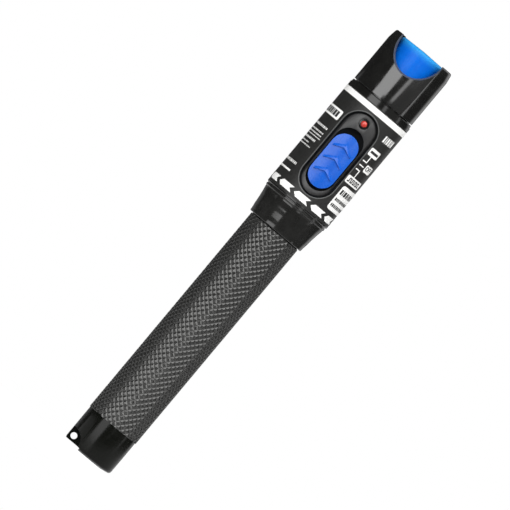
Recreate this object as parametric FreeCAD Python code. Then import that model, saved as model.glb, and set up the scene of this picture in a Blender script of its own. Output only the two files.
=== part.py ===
"""Pen-type visual fault locator, in millimetres, standing on its tail.

Z runs along the pen from the tail to the tip, and the origin is the centre of the tail's end face.
The slide switch faces -Y, and the lanyard eye is on the -X side.

From the tail up: a knurled aluminium barrel holds two cells on a spring, and screws into a collar.
The collar is fixed in the head housing, which holds the circuit board, the three-position slide
switch and the laser module. A shroud with two finger cut-outs stands round the ferrule port at the
tip, and a dust cap is pushed over the port.
"""

import FreeCAD, Part
import math
import os

Vector = FreeCAD.Vector
ORIGIN = Vector(0, 0, 0)
AXIS_X = Vector(1, 0, 0)
AXIS_Y = Vector(0, 1, 0)
AXIS_Z = Vector(0, 0, 1)

# Fits between pieces
running_gap = 0.05  # radial, round a shaft that turns or slides
seat_gap = 0.05  # round a piece that is set in its seat
slide_gap = 0.15  # round the switch knob's foot and stem
pin_gap = 0.04  # round pins, legs and screws in the board

# Cells
cell_count = 2
cell_radius = 7.1
cell_can_length = 49.3
cell_edge = 0.8
cell_nub_radius = 2.75
cell_nub_height = 1.0
cell_clearance = 0.4

# Barrel
barrel_wall = 2.18
knurl_height = 0.27
knurl_start = 13.7
knurl_chamfer = 0.2
tail_flat_radius = 6.2
tail_rise = 0.62
tail_round = 1.2
tail_floor_wall = 1.98
thread_length = 8.5
thread_wall = 1.25
thread_chamfer = 0.4

# Lanyard eye in the tail
eye_offset = 7.65
eye_height = 2.83
eye_radius = 1.15
eye_web = 2.0
pocket_cut_radius = 5.0
pocket_cut_offset = 9.3
pocket_cut_height = 0.6
eye_step_offset = 3.6
eye_step_height = 0.85

# Tail spring
spring_height = 4.0
spring_wire_radius = 0.4
spring_foot_radius = 6.2
spring_top_radius = 3.4
spring_turns = 3.5
spring_seat = 0.05

# Collar that the barrel screws into
collar_foot_overhang = 0.77
collar_waist_inset = 0.89
collar_bulge = 0.14
collar_waist_height = 9.2
collar_lip_inset = 0.4
collar_flare = 1.1
collar_lip_height = 10.9
collar_groove_depth = 0.45
collar_height = 11.2
collar_edge = 0.25
collar_throat_gap = 0.8
throat_length = 5.4

# Contacts between the cells and the head
ring_thickness = 0.6
ring_width = 0.95
ring_tab_width = 2.0
ring_tab_thickness = 0.4
contact_radius = 3.0
contact_thickness = 0.6
contact_shank_radius = 1.0
contact_head_radius = 1.5
contact_head_height = 0.5
contact_board_radius = 9.1
contact_board_thickness = 1.0

# Head housing and its label
label_radius = 12.75
label_thickness = 0.2
print_thickness = 0.04
housing_wall = 1.6
housing_chamfer = 0.35
housing_foot = 0.7
housing_ring_height = 1.4
housing_step = 0.25
housing_step_height = 1.0
housing_crown = 5.7

# Printed fields on the label
band_height = 2.1
band_below_ring = 0.25
arrow_count = 11
arrow_height = 2.6
arrow_point = 1.4
arrow_gap = 1.5
arrow_rise = 0.95

# Slide switch: knob, pocket and lever
knob_width = 9.9
knob_length = 20.9
knob_height = 18.95
knob_top = 13.6
knob_crown_radius = 20.0
knob_edge = 0.7
knob_travel = 2.4
knob_end_gap = 0.1
knob_side_gap = 0.55
chevron_count = 3
chevron_pitch = 5.0
chevron_half_width = 3.7
chevron_drop = 2.5
chevron_thickness = 1.2
chevron_height = 0.35
chevron_rise = 1.2
stem_width = 3.1
stem_length = 5.2
lever_width = 1.5
lever_length = 2.0
lever_reach = 1.3

# Bezel round the switch
bezel_width = 13.6
bezel_margin = 1.3
bezel_rim = 0.4
bezel_slope = 0.75
bezel_proud = 0.2
bezel_ledge_depth = 0.95
bezel_pocket_depth = 1.6
bezel_floor = 1.0

# Indicator lamp
lamp_rise = 3.07
lamp_crown = 3.9
lamp_radius = 1.5
lamp_hole_radius = 1.85
lamp_flange_radius = 2.1
lamp_flange_height = 0.8
lamp_proud = 0.4
lamp_leg_radius = 0.25
lamp_leg_spacing = 2.54

# Switch case and circuit board
case_width = 6.4
case_length = 12.6
case_height = 3.0
case_wall = 0.4
case_gap = 0.1
slider_block_width = 4.0
slider_block_length = 3.4
slider_block_height = 1.6
case_pin_radius = 0.3
case_pin_pitch = 2.5
case_pin_count = 4
leg_past_board = 0.35
board_thickness = 1.0
board_width = 14.0
board_top_gap = 0.3
chip_width = 3.9
chip_length = 4.9
chip_height = 1.5
chip_height_on_board = 7.5
chip_leg_count = 4
chip_leg_pitch = 1.27
chip_leg_width = 0.4
chip_leg_reach = 1.0
chip_leg_thickness = 0.25
resistor_count = 4
resistor_width = 0.8
resistor_length = 1.6
resistor_height = 0.5
resistor_pitch = 1.6
resistor_height_on_board = 14.5
capacitor_width = 2.8
capacitor_length = 3.5
capacitor_height = 1.9
capacitor_height_on_board = 2.9
screw_radius = 0.7
screw_head_radius = 1.25
screw_head_height = 0.8
screw_offset = 5.7
screw_margin = 3.4
screw_grip = 1.8
screw_slot_width = 0.35
screw_slot_depth = 0.35

# Chassis that carries the board and steadies the laser module
chassis_gap = 0.1
chassis_wall = 1.2
chassis_ledge = 2.2
chassis_ledge_width = 2.9
bulkhead_thickness = 3.0

# Laser module
module_radius = 3.7
module_length = 11.5
module_flange_radius = 6.0
module_flange_height = 2.0
module_neck_radius = 3.6
module_neck_length = 4.5
module_mouth_radius = 3.05
module_mouth_depth = 6.0
module_lens_bore_radius = 2.3
module_lens_bore_depth = 10.4
module_aperture_radius = 0.8
diode_flange_radius = 2.95
diode_flange_height = 1.2
diode_setback = 1.6
diode_can_radius = 2.1
diode_can_height = 2.6
diode_pin_radius = 0.23
diode_pin_circle = 1.27
diode_pin_drop = 3.0
diode_pin_bend = 0.9
lens_edge = 0.9
lens_sag = 0.45
lens_face_radius = 1.7
lens_ring_height = 1.0

# Ferrule port at the tip
ferrule_radius = 1.25
sleeve_wall = 0.35
sleeve_length = 11.4
sleeve_slit = 0.4
port_nut_radius = 5.2
port_nut_height = 3.4
port_flats = 9.2
port_radius = 3.6
port_edge = 0.4
port_lip = 0.6
port_lip_radius = 1.35
port_height = 14.0

# Shroud with its finger cut-outs
shroud_inset = 0.35
shroud_wall = 1.5
shroud_height = 21.3
shroud_neck_depth = 0.9
shroud_neck_height = 0.55
shroud_floor = 2.0
shroud_floor_drop = 1.5
shroud_spigot_length = 3.5
shroud_spigot_wall = 1.6
shroud_tip_taper = 0.55
shroud_taper_height = 3.5
shroud_tip_edge = 0.8
shroud_foot_edge = 0.3
shroud_turn = -4.6
cutout_depth = 10.7
cutout_draft = 0.333

# Dust cap
cap_ring_gap = 2.15
cap_wall = 1.5
cap_roof = 2.0
cap_edge = 1.1
cap_below_tip = 0.35
cap_boss_wall = 1.4
cap_boss_gap = 0.3
cap_skirt_gap = 0.7
cap_dome = 0.25

# Places along Z, from the tail up
bore_radius = cell_radius + cell_clearance
barrel_radius = bore_radius + barrel_wall
knurl_radius = barrel_radius + knurl_height
thread_radius = bore_radius + thread_wall
tail_floor_z = pocket_cut_height + pocket_cut_radius + tail_floor_wall
cells_z = tail_floor_z + spring_height
cell_pitch = cell_can_length + cell_nub_height
contact_z = cells_z + cell_count * cell_pitch
contact_board_z = contact_z + contact_thickness
ring_top_z = contact_board_z - throat_length
thread_top_z = ring_top_z - ring_thickness
shoulder_z = thread_top_z - thread_length
inner_floor_z = contact_board_z + contact_board_thickness
housing_z = shoulder_z + collar_height
knob_z = housing_z + knob_height
pocket_length = knob_length + 2 * (knob_travel + knob_end_gap)
pocket_top_z = knob_z + pocket_length / 2
lamp_z = pocket_top_z + lamp_rise
bezel_bottom_z = knob_z - pocket_length / 2 - bezel_margin
bezel_top_z = lamp_z + lamp_crown
housing_top_z = bezel_top_z + housing_crown
shroud_z = housing_top_z + shroud_neck_height
tip_z = shroud_z + shroud_height
floor_bottom_z = housing_top_z - shroud_floor_drop
floor_top_z = floor_bottom_z + shroud_floor
spigot_bottom_z = housing_top_z - shroud_spigot_length
module_flange_z = floor_bottom_z - module_flange_height
module_z = module_flange_z - module_length
neck_top_z = floor_bottom_z + module_neck_length
nut_top_z = floor_top_z + port_nut_height
port_top_z = floor_top_z + port_height
sleeve_top_z = port_top_z - port_lip
sleeve_z = sleeve_top_z - sleeve_length
board_top_z = module_flange_z - board_top_gap
label_z = housing_z + housing_foot
ring_z = housing_top_z - housing_step_height - housing_ring_height

# Radii and depths that several pieces share
collar_foot_radius = knurl_radius + collar_foot_overhang
collar_waist_radius = label_radius - collar_waist_inset
collar_lip_radius = label_radius - collar_lip_inset
shroud_radius = label_radius - shroud_inset
shroud_bore = shroud_radius - shroud_wall
cap_radius = shroud_bore - cap_ring_gap
housing_radius = label_radius - label_thickness
housing_bore = housing_radius - housing_wall
spigot_radius = housing_bore - seat_gap
collar_bore = thread_radius + running_gap
collar_throat = bore_radius + collar_throat_gap
rim_radius = label_radius + bezel_proud
ledge_radius = label_radius - bezel_ledge_depth
pocket_width = knob_width + 2 * knob_side_gap
pocket_floor_depth = ledge_radius - bezel_pocket_depth
bezel_back_depth = pocket_floor_depth - bezel_floor
case_front_depth = bezel_back_depth - case_gap
board_front_depth = case_front_depth - case_height
board_back_depth = board_front_depth - board_thickness
sleeve_outer = ferrule_radius + sleeve_wall
sleeve_bore = sleeve_outer + seat_gap
cap_boss_bore = port_radius + running_gap


def tangent_corner(before, here, after, radius):
    """Start, middle and end of a rounded corner; a sharp one has no middle."""
    if radius <= 0:
        return here, None, here
    back = before - here
    ahead = after - here
    back.normalize()
    ahead.normalize()
    half = back.getAngle(ahead) / 2
    reach = radius / math.tan(half)
    inward = back + ahead
    inward.normalize()
    middle = here + inward * (radius / math.sin(half) - radius)
    return here + back * reach, middle, here + ahead * reach


def rounded_wire(corners):
    """Closed wire through (point, radius) corners, with a tangent arc at each corner that has a radius."""
    count = len(corners)
    bends = []
    for i, (point, radius) in enumerate(corners):
        before = corners[i - 1][0]
        after = corners[(i + 1) % count][0]
        bends.append(tangent_corner(before, point, after, radius))
    edges = []
    for i, (start, middle, end) in enumerate(bends):
        if middle is not None:
            edges.append(Part.Arc(start, middle, end).toShape())
        following = bends[(i + 1) % count][0]
        if end.distanceToPoint(following) > 1e-6:
            edges.append(Part.LineSegment(end, following).toShape())
    return Part.Wire(edges)


def turned(corners):
    """Solid turned about Z from (radius, z) or (radius, z, rounding) corners."""
    points = []
    for corner in corners:
        rounding = corner[2] if len(corner) > 2 else 0
        points.append((Vector(corner[0], 0, corner[1]), rounding))
    return Part.Face(rounded_wire(points)).revolve(ORIGIN, AXIS_Z, 360)


def disc(radius, bottom, top):
    return Part.makeCylinder(radius, top - bottom, Vector(0, 0, bottom))


def ring(outer, inner, bottom, top):
    return disc(outer, bottom, top).cut(disc(inner, bottom, top))


def block(x_from, x_to, y_from, y_to, z_from, z_to):
    corner = Vector(x_from, y_from, z_from)
    return Part.makeBox(x_to - x_from, y_to - y_from, z_to - z_from, corner)


def front_plate(corners, depth_from, depth_to):
    """Prism of (x, z, rounding) corners that runs along -Y between two depths in front of the axis."""
    points = [(Vector(x, -depth_from, z), rounding) for x, z, rounding in corners]
    return Part.Face(rounded_wire(points)).extrude(Vector(0, depth_from - depth_to, 0))


def slot_plate(width, bottom, top, depth_from, depth_to):
    """Prism with a slot's outline: straight sides and round ends."""
    radius = width / 2
    z_low = bottom + radius
    z_high = top - radius
    y = -depth_from
    left_low = Vector(-radius, y, z_low)
    left_high = Vector(-radius, y, z_high)
    right_low = Vector(radius, y, z_low)
    right_high = Vector(radius, y, z_high)
    edges = [
        Part.LineSegment(left_low, left_high).toShape(),
        Part.Arc(left_high, Vector(0, y, top), right_high).toShape(),
        Part.LineSegment(right_high, right_low).toShape(),
        Part.Arc(right_low, Vector(0, y, bottom), left_low).toShape(),
    ]
    return Part.Face(Part.Wire(edges)).extrude(Vector(0, depth_from - depth_to, 0))


def front_pin(radius, x, z, depth_from, depth_to):
    """Round pin along -Y."""
    start = Vector(x, -depth_from, z)
    return Part.makeCylinder(radius, depth_to - depth_from, start, -AXIS_Y)


def barrel():
    """Turned tube with a domed tail, a raised grip, a spigot for the thread and a milled eye."""
    knurl_foot = barrel_radius, knurl_start
    tube = turned([
        (0, 0),
        (tail_flat_radius, 0),
        (barrel_radius, tail_rise, tail_round),
        knurl_foot,
        (knurl_radius, knurl_start + knurl_height),
        (knurl_radius, shoulder_z - knurl_chamfer),
        (knurl_radius - knurl_chamfer, shoulder_z),
        (thread_radius, shoulder_z),
        (thread_radius, thread_top_z - thread_chamfer),
        (thread_radius - thread_chamfer, thread_top_z),
        (bore_radius, thread_top_z),
        (bore_radius, tail_floor_z),
        (0, tail_floor_z),
    ])
    return tube.cut(lanyard_eye_cuts())


def lanyard_eye_cuts():
    """Two round pockets that leave a thin web, the hole through it and the step under it."""
    reach = 2 * barrel_radius
    pocket = front_pin(pocket_cut_radius, -pocket_cut_offset, pocket_cut_height, -reach, reach)
    web = block(-reach, reach, -eye_web / 2, eye_web / 2, -reach, reach)
    hole = front_pin(eye_radius, -eye_offset, eye_height, -eye_web, eye_web)
    step = block(-reach, -eye_step_offset, -reach, reach, -reach, eye_step_height)
    return pocket.cut(web).fuse(hole).fuse(step)


def spring_height_at(share):
    low = tail_floor_z + spring_wire_radius + spring_seat
    high = cells_z - spring_wire_radius - spring_seat
    return low + (high - low) * share


def tail_spring():
    """Conical compression spring, wide at its foot, with its last half turn flat on each end."""
    steps_per_turn = 12
    steps = round(spring_turns * steps_per_turn)
    flat = steps_per_turn // 2
    points = []
    for i in range(steps + 1):
        angle = 2 * math.pi * i / steps_per_turn
        share = min(max((i - flat) / (steps - 2 * flat), 0), 1)
        eased = share * share * (3 - 2 * share)
        radius = spring_foot_radius + (spring_top_radius - spring_foot_radius) * eased
        points.append(Vector(radius * math.cos(angle), radius * math.sin(angle), spring_height_at(eased)))
    path = Part.BSplineCurve()
    path.interpolate(points)
    wire = Part.Wire([path.toShape()])
    start_direction = path.tangent(path.FirstParameter)[0]
    section = Part.Wire([Part.Circle(points[0], start_direction, spring_wire_radius).toShape()])
    return wire.makePipeShell([section], True, True)


def cell(index):
    """Cylindrical cell with its positive nub towards the head."""
    bottom = cells_z + index * cell_pitch
    top = bottom + cell_can_length
    return turned([
        (0, bottom),
        (cell_radius, bottom, cell_edge),
        (cell_radius, top, cell_edge),
        (cell_nub_radius, top),
        (cell_nub_radius, top + cell_nub_height),
        (0, top + cell_nub_height),
    ])


def collar():
    """Tapered moulded collar, threaded inside for the barrel, with a spigot that is fixed in the housing."""
    waist_z = shoulder_z + collar_waist_height
    lip_z = shoulder_z + collar_lip_height
    foot = Vector(collar_foot_radius, 0, shoulder_z + collar_edge)
    waist = Vector(collar_waist_radius, 0, waist_z)
    middle = (foot + waist) * 0.5 + Vector(collar_bulge, 0, 0)
    corners = [
        Vector(collar_lip_radius, 0, waist_z + collar_flare),
        Vector(collar_lip_radius, 0, lip_z),
        Vector(collar_lip_radius - collar_groove_depth, 0, lip_z),
        Vector(collar_lip_radius - collar_groove_depth, 0, housing_z),
        Vector(spigot_radius, 0, housing_z),
        Vector(spigot_radius, 0, inner_floor_z),
        Vector(contact_board_radius + seat_gap, 0, inner_floor_z),
        Vector(contact_board_radius + seat_gap, 0, contact_board_z),
        Vector(collar_throat, 0, contact_board_z),
        Vector(collar_throat, 0, ring_top_z),
        Vector(collar_bore, 0, ring_top_z),
        Vector(collar_bore, 0, shoulder_z),
        Vector(collar_foot_radius - collar_edge, 0, shoulder_z),
    ]
    edges = [Part.Arc(foot, middle, waist).toShape()]
    path = [waist] + corners + [foot]
    for start, end in zip(path, path[1:]):
        edges.append(Part.LineSegment(start, end).toShape())
    body = Part.Face(Part.Wire(edges)).revolve(ORIGIN, AXIS_Z, 360)
    return body.cut(ring_tab(seat_gap))


def ring_tab(gap):
    """Upright tab of the negative contact ring, grown by a gap to cut its channel."""
    half = ring_tab_width / 2 + gap
    outer = collar_throat + ring_tab_thickness - gap
    y_from = outer - ring_tab_thickness - collar_throat_gap / 2
    return block(-half, half, y_from, outer + 2 * gap, ring_top_z - ring_thickness / 2, contact_board_z)


def negative_ring():
    """Stamped ring that the barrel's end presses on, with a tab up to the contact board."""
    outer = collar_bore - seat_gap
    washer = ring(outer, outer - ring_width, thread_top_z, ring_top_z)
    half = ring_tab_width / 2
    tab_outer = collar_throat + ring_tab_thickness - seat_gap
    tab = block(-half, half, tab_outer - ring_tab_thickness, tab_outer, thread_top_z, contact_board_z)
    return washer.fuse(tab).removeSplitter()


def contact_board():
    """Round board in the collar's seat that carries the positive contact."""
    disc_board = disc(contact_board_radius, contact_board_z, inner_floor_z)
    return disc_board.cut(disc(contact_shank_radius + pin_gap, contact_board_z, inner_floor_z))


def positive_contact():
    """Riveted button that the front cell's nub presses on."""
    return turned([
        (0, contact_z),
        (contact_radius, contact_z, contact_thickness / 3),
        (contact_radius, contact_board_z),
        (contact_shank_radius, contact_board_z),
        (contact_shank_radius, inner_floor_z),
        (contact_head_radius, inner_floor_z),
        (contact_head_radius, inner_floor_z + contact_head_height, contact_head_height / 2),
        (0, inner_floor_z + contact_head_height),
    ])


def bezel_prism(gap, depth_from, depth_to):
    width = bezel_width + 2 * gap
    return slot_plate(width, bezel_bottom_z - gap, bezel_top_z + gap, depth_from, depth_to)


def head_housing():
    """Moulded tube with a seat for the label, a shouldered ring at its top and a window for the bezel."""
    ring_top = ring_z + housing_ring_height
    tube = turned([
        (housing_bore, housing_z),
        (label_radius - housing_chamfer, housing_z),
        (label_radius, housing_z + housing_chamfer),
        (label_radius, label_z),
        (housing_radius, label_z),
        (housing_radius, ring_z),
        (label_radius, ring_z),
        (label_radius, ring_top),
        (label_radius - housing_step, ring_top),
        (label_radius - housing_step, housing_top_z - housing_step),
        (label_radius - 2 * housing_step, housing_top_z),
        (housing_bore, housing_top_z),
    ])
    return tube.cut(bezel_prism(seat_gap, 0, 2 * label_radius))


def label_wrap():
    """Printed film round the housing, with a hole for the bezel."""
    film = ring(label_radius, housing_radius, label_z, ring_z)
    return film.cut(bezel_prism(seat_gap, 0, 2 * label_radius))


def print_skin(bottom, top):
    return ring(label_radius + print_thickness, label_radius, bottom, top)


def printed_arrow(index):
    """One arrow of the row round the foot of the label, pointing to -X on the switch's side."""
    pitch = 2 * math.pi * label_radius / arrow_count
    length = pitch - arrow_gap
    low = label_z + arrow_rise
    high = low + arrow_height
    middle = (low + high) / 2
    left = -pitch / 2
    corners = [
        (left, middle, 0),
        (left + arrow_point, high, 0),
        (left + length + arrow_point, high, 0),
        (left + length, middle, 0),
        (left + length + arrow_point, low, 0),
        (left + arrow_point, low, 0),
    ]
    arrow = front_plate(corners, label_radius / 2, 2 * label_radius)
    arrow = arrow.common(print_skin(low, high))
    arrow.rotate(ORIGIN, AXIS_Z, index * 360 / arrow_count)
    return arrow


def printed_field(angle_from, angle_to, bottom, top):
    """Curved printed block between two angles, counted from the switch's side towards +X."""
    wedge = Part.makeCylinder(
        2 * label_radius, top - bottom, Vector(0, 0, bottom), AXIS_Z, angle_to - angle_from
    )
    wedge.rotate(ORIGIN, AXIS_Z, angle_from - 90)
    return wedge.common(print_skin(bottom, top))


def label_fields():
    """Angles and heights above the housing's foot of the plain printed blocks on the label."""
    return [
        (-100, -38.5, 30.1, 33.8),  # block at the upper left
        (-100, -45, 6.9, 7.8),  # bar at the lower left
        (38, 63, 34.3, 36.9),  # block at the upper right
        (33.5, 57, 28.0, 31.1),  # box by the switch's upper position
        (48, 68, 22.5, 25.6),  # box by its middle position
        (33.5, 70, 16.3, 19.4),  # box by its lower position
        (36.6, 112, 5.7, 15.3),  # panel at the lower right
    ]


def label_print():
    """White ink on the film: the band at the top, the row of arrows at the foot and the plain blocks."""
    band_top = ring_z - band_below_ring
    solids = [print_skin(band_top - band_height, band_top)]
    for index in range(arrow_count):
        solids.append(printed_arrow(index))
    for angle_from, angle_to, low, high in label_fields():
        solids.append(printed_field(angle_from, angle_to, housing_z + low, housing_z + high))
    return Part.makeCompound(solids)


def switch_bezel():
    """Moulded panel in the window: a raised rim, a ledge with the lamp's hole, the knob's pocket."""
    body = bezel_prism(0, bezel_back_depth, 2 * rim_radius)
    body = body.common(disc(rim_radius, bezel_bottom_z - 1, bezel_top_z + 1))
    inside = bezel_prism(-bezel_rim - bezel_slope, 0, 2 * rim_radius)
    above_ledge = inside.cut(disc(ledge_radius, bezel_bottom_z - 1, bezel_top_z + 1))
    body = eased_rim(body.cut(above_ledge))
    pocket_bottom = knob_z - pocket_length / 2
    pocket = slot_plate(pocket_width, pocket_bottom, pocket_top_z, pocket_floor_depth, 2 * rim_radius)
    lamp_hole = front_pin(lamp_hole_radius, 0, lamp_z, 0, 2 * rim_radius)
    half_slot = stem_length / 2 + knob_travel + slide_gap
    half_width = stem_width / 2 + slide_gap
    stem_slot = block(
        -half_width, half_width, -2 * rim_radius, 0, knob_z - half_slot, knob_z + half_slot
    )
    return body.cut(pocket).cut(lamp_hole).cut(stem_slot)


def eased_rim(body):
    """The rim with its inner top edge cut back to a slope."""
    half_width = bezel_width / 2 - bezel_rim
    low = bezel_bottom_z + bezel_rim
    high = bezel_top_z - bezel_rim
    edges = []
    for edge in body.Edges:
        box = edge.BoundBox
        inside = box.XMax < half_width and box.XMin > -half_width and box.ZMin > low and box.ZMax < high
        on_rim = all(abs(math.hypot(v.X, v.Y) - rim_radius) < 1e-4 for v in edge.Vertexes)
        if inside and on_rim:
            edges.append(edge)
    return body.makeChamfer(bezel_slope, edges)


def knob_crown(height):
    """Wide cylinder along Z whose front is the knob's top face, raised by a height."""
    radius = knob_crown_radius + height
    centre_y = knob_crown_radius - knob_top
    length = 2 * knob_length
    return Part.makeCylinder(radius, length, Vector(0, centre_y, knob_z - knob_length))


def chevron(index):
    """Raised V across the knob, pointing to the tip."""
    peak = knob_z + (index - (chevron_count - 1) / 2) * chevron_pitch + chevron_rise
    lower = peak - chevron_thickness
    corners = [
        (0, peak, 0),
        (chevron_half_width, peak - chevron_drop, 0),
        (chevron_half_width, lower - chevron_drop, 0),
        (0, lower, 0),
        (-chevron_half_width, lower - chevron_drop, 0),
        (-chevron_half_width, peak - chevron_drop, 0),
    ]
    prism = front_plate(corners, pocket_floor_depth + bezel_floor, 2 * knob_top)
    return prism.common(knob_crown(chevron_height))


def slider_knob():
    """Moulded knob: a crowned pad with three chevrons, on a stem that takes the switch lever."""
    foot = pocket_floor_depth + slide_gap
    body = slot_plate(knob_width, knob_z - knob_length / 2, knob_z + knob_length / 2, foot, 2 * knob_top)
    body = body.common(knob_crown(0))
    top_edges = [e for e in body.Edges if e.BoundBox.YMax < -foot - knob_edge]
    body = body.makeFillet(knob_edge, top_edges)
    for index in range(chevron_count):
        body = body.fuse(chevron(index))
    half_stem = stem_length / 2
    stem = block(
        -stem_width / 2,
        stem_width / 2,
        -foot - case_gap,
        -bezel_back_depth,
        knob_z - half_stem,
        knob_z + half_stem,
    )
    socket = lever_prism(pin_gap, 0)
    return body.fuse(stem).cut(socket).removeSplitter()


def lever_prism(gap, depth_from):
    half_width = lever_width / 2 + gap
    half_length = lever_length / 2 + gap
    front = pocket_floor_depth + slide_gap + lever_reach + gap
    return block(
        -half_width, half_width, -front, -depth_from, knob_z - half_length, knob_z + half_length
    )


def switch_lever():
    """Lever of the slide switch, with the contact block that runs inside its case."""
    block_from = board_front_depth + case_wall + slide_gap
    block_to = block_from + slider_block_height
    runner = block(
        -slider_block_width / 2,
        slider_block_width / 2,
        -block_to,
        -block_from,
        knob_z - slider_block_length / 2,
        knob_z + slider_block_length / 2,
    )
    return runner.fuse(lever_prism(0, block_from)).removeSplitter()


def case_pins():
    pins = []
    for index in range(case_pin_count):
        z = knob_z + (index - (case_pin_count - 1) / 2) * case_pin_pitch
        pins.append((0, z))
    return pins


def switch_case():
    """Pressed case of the slide switch, open in front for its lever, with its pins through the board."""
    half_width = case_width / 2
    half_length = case_length / 2
    shell = block(
        -half_width,
        half_width,
        -case_front_depth,
        -board_front_depth,
        knob_z - half_length,
        knob_z + half_length,
    )
    hollow = block(
        case_wall - half_width,
        half_width - case_wall,
        case_wall - case_front_depth,
        -board_front_depth - case_wall,
        knob_z - half_length + case_wall,
        knob_z + half_length - case_wall,
    )
    slot_half = lever_length / 2 + knob_travel + slide_gap
    slot_side = lever_width / 2 + slide_gap
    slot = block(
        -slot_side,
        slot_side,
        -2 * case_front_depth,
        -board_front_depth - case_wall,
        knob_z - slot_half,
        knob_z + slot_half,
    )
    case = shell.cut(hollow).cut(slot)
    pin_end = board_back_depth - leg_past_board
    for x, z in case_pins():
        case = case.fuse(front_pin(case_pin_radius, x, z, pin_end, board_front_depth))
    return case.removeSplitter()


def lamp_legs():
    return [(-lamp_leg_spacing / 2, lamp_z), (lamp_leg_spacing / 2, lamp_z)]


def indicator_lamp():
    """Round lamp behind the bezel, with a dome that shows in the bezel's hole and two legs to the board."""
    flange_to = bezel_back_depth - seat_gap
    flange_from = flange_to - lamp_flange_height
    tip = ledge_radius + lamp_proud
    dome_centre = tip - lamp_radius
    lamp = front_pin(lamp_flange_radius, 0, lamp_z, flange_from, flange_to)
    lamp = lamp.fuse(front_pin(lamp_radius, 0, lamp_z, flange_to, dome_centre))
    lamp = lamp.fuse(Part.makeSphere(lamp_radius, Vector(0, -dome_centre, lamp_z)))
    leg_end = board_back_depth - leg_past_board
    for x, z in lamp_legs():
        lamp = lamp.fuse(front_pin(lamp_leg_radius, x, z, leg_end, flange_from))
    return lamp.removeSplitter()


def screw_places():
    low = inner_floor_z + screw_margin
    high = board_top_z - screw_margin
    return [(x, z) for x in (-screw_offset, screw_offset) for z in (low, high)]


def circuit_board():
    """Board across the head that carries the switch, the lamp and the laser's driver."""
    board = block(
        -board_width / 2, board_width / 2, -board_front_depth, -board_back_depth, inner_floor_z, board_top_z
    )
    holes = [(case_pin_radius, place) for place in case_pins()]
    holes += [(lamp_leg_radius, place) for place in lamp_legs()]
    holes += [(screw_radius, place) for place in screw_places()]
    for radius, (x, z) in holes:
        board = board.cut(front_pin(radius + pin_gap, x, z, 0, 2 * board_front_depth))
    return board


def board_screws():
    """Four slotted screws that hold the board on the chassis."""
    shank_end = board_back_depth - screw_grip
    head_end = board_front_depth + screw_head_height
    screws = []
    for x, z in screw_places():
        shank = front_pin(screw_radius, x, z, shank_end, board_front_depth)
        head = front_pin(screw_head_radius, x, z, board_front_depth, head_end)
        slot_half = screw_slot_width / 2
        slot = block(
            x - slot_half,
            x + slot_half,
            -head_end,
            screw_slot_depth - head_end,
            z - screw_head_radius,
            z + screw_head_radius,
        )
        screws.append(shank.fuse(head).cut(slot).removeSplitter())
    return Part.makeCompound(screws)


def driver_chip():
    """Eight-legged driver chip on the back of the board."""
    z = inner_floor_z + chip_height_on_board
    face = -board_back_depth
    lift = chip_leg_thickness / 2
    chip = block(
        -chip_width / 2,
        chip_width / 2,
        face + lift,
        face + chip_height,
        z - chip_length / 2,
        z + chip_length / 2,
    )
    reach = chip_width / 2 + chip_leg_reach
    for index in range(chip_leg_count):
        leg_z = z + (index - (chip_leg_count - 1) / 2) * chip_leg_pitch
        chip = chip.fuse(
            block(
                -reach,
                reach,
                face,
                face + chip_leg_thickness,
                leg_z - chip_leg_width / 2,
                leg_z + chip_leg_width / 2,
            )
        )
    return chip.removeSplitter()


def chip_resistors():
    """Row of small resistors on the back of the board."""
    z = inner_floor_z + resistor_height_on_board
    face = -board_back_depth
    solids = []
    for index in range(resistor_count):
        x = (index - (resistor_count - 1) / 2) * resistor_pitch
        solids.append(
            block(
                x - resistor_width / 2,
                x + resistor_width / 2,
                face,
                face + resistor_height,
                z - resistor_length / 2,
                z + resistor_length / 2,
            )
        )
    return Part.makeCompound(solids)


def capacitor():
    """Moulded capacitor on the back of the board."""
    z = inner_floor_z + capacitor_height_on_board
    face = -board_back_depth
    return block(
        -capacitor_length / 2,
        capacitor_length / 2,
        face,
        face + capacitor_height,
        z - capacitor_width / 2,
        z + capacitor_width / 2,
    )


def chassis():
    """Moulded half shell behind the board, with two ledges for it and a bulkhead round the laser module."""
    outer = housing_bore - chassis_gap
    top = spigot_bottom_z - chassis_gap
    shell = ring(outer, outer - chassis_wall, inner_floor_z, top)
    bulkhead = ring(outer, module_radius + seat_gap, top - bulkhead_thickness, top)
    body = shell.fuse(bulkhead)
    inner_edge = board_width / 2 - chassis_ledge_width
    ledge_end = outer - chassis_wall / 2
    for side in (-1, 1):
        x_from, x_to = sorted((side * inner_edge, side * ledge_end))
        ledge = block(x_from, x_to, -board_back_depth, chassis_ledge - board_back_depth, inner_floor_z, top)
        body = body.fuse(ledge.common(disc(outer, inner_floor_z, top)))
    front = block(-2 * outer, 2 * outer, -2 * outer, -board_back_depth, inner_floor_z - 1, top + 1)
    body = body.cut(front)
    screw_end = board_back_depth - screw_grip - seat_gap
    for x, z in screw_places():
        body = body.cut(front_pin(screw_radius + pin_gap, x, z, screw_end, board_back_depth))
    return body.removeSplitter()


def laser_housing():
    """Turned brass body: diode bore, lens bore, flange, and a threaded neck for the port."""
    mouth_top = module_z + module_mouth_depth
    lens_top = module_z + module_lens_bore_depth
    seat_z = sleeve_z - seat_gap
    return turned([
        (module_mouth_radius, module_z),
        (module_radius, module_z, port_edge / 2),
        (module_radius, module_flange_z),
        (module_flange_radius, module_flange_z),
        (module_flange_radius, floor_bottom_z),
        (module_neck_radius, floor_bottom_z),
        (module_neck_radius, neck_top_z),
        (sleeve_bore, neck_top_z),
        (sleeve_bore, seat_z),
        (module_aperture_radius, seat_z),
        (module_aperture_radius, lens_top),
        (module_lens_bore_radius, lens_top),
        (module_lens_bore_radius, mouth_top),
        (module_mouth_radius, mouth_top),
    ])


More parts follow.
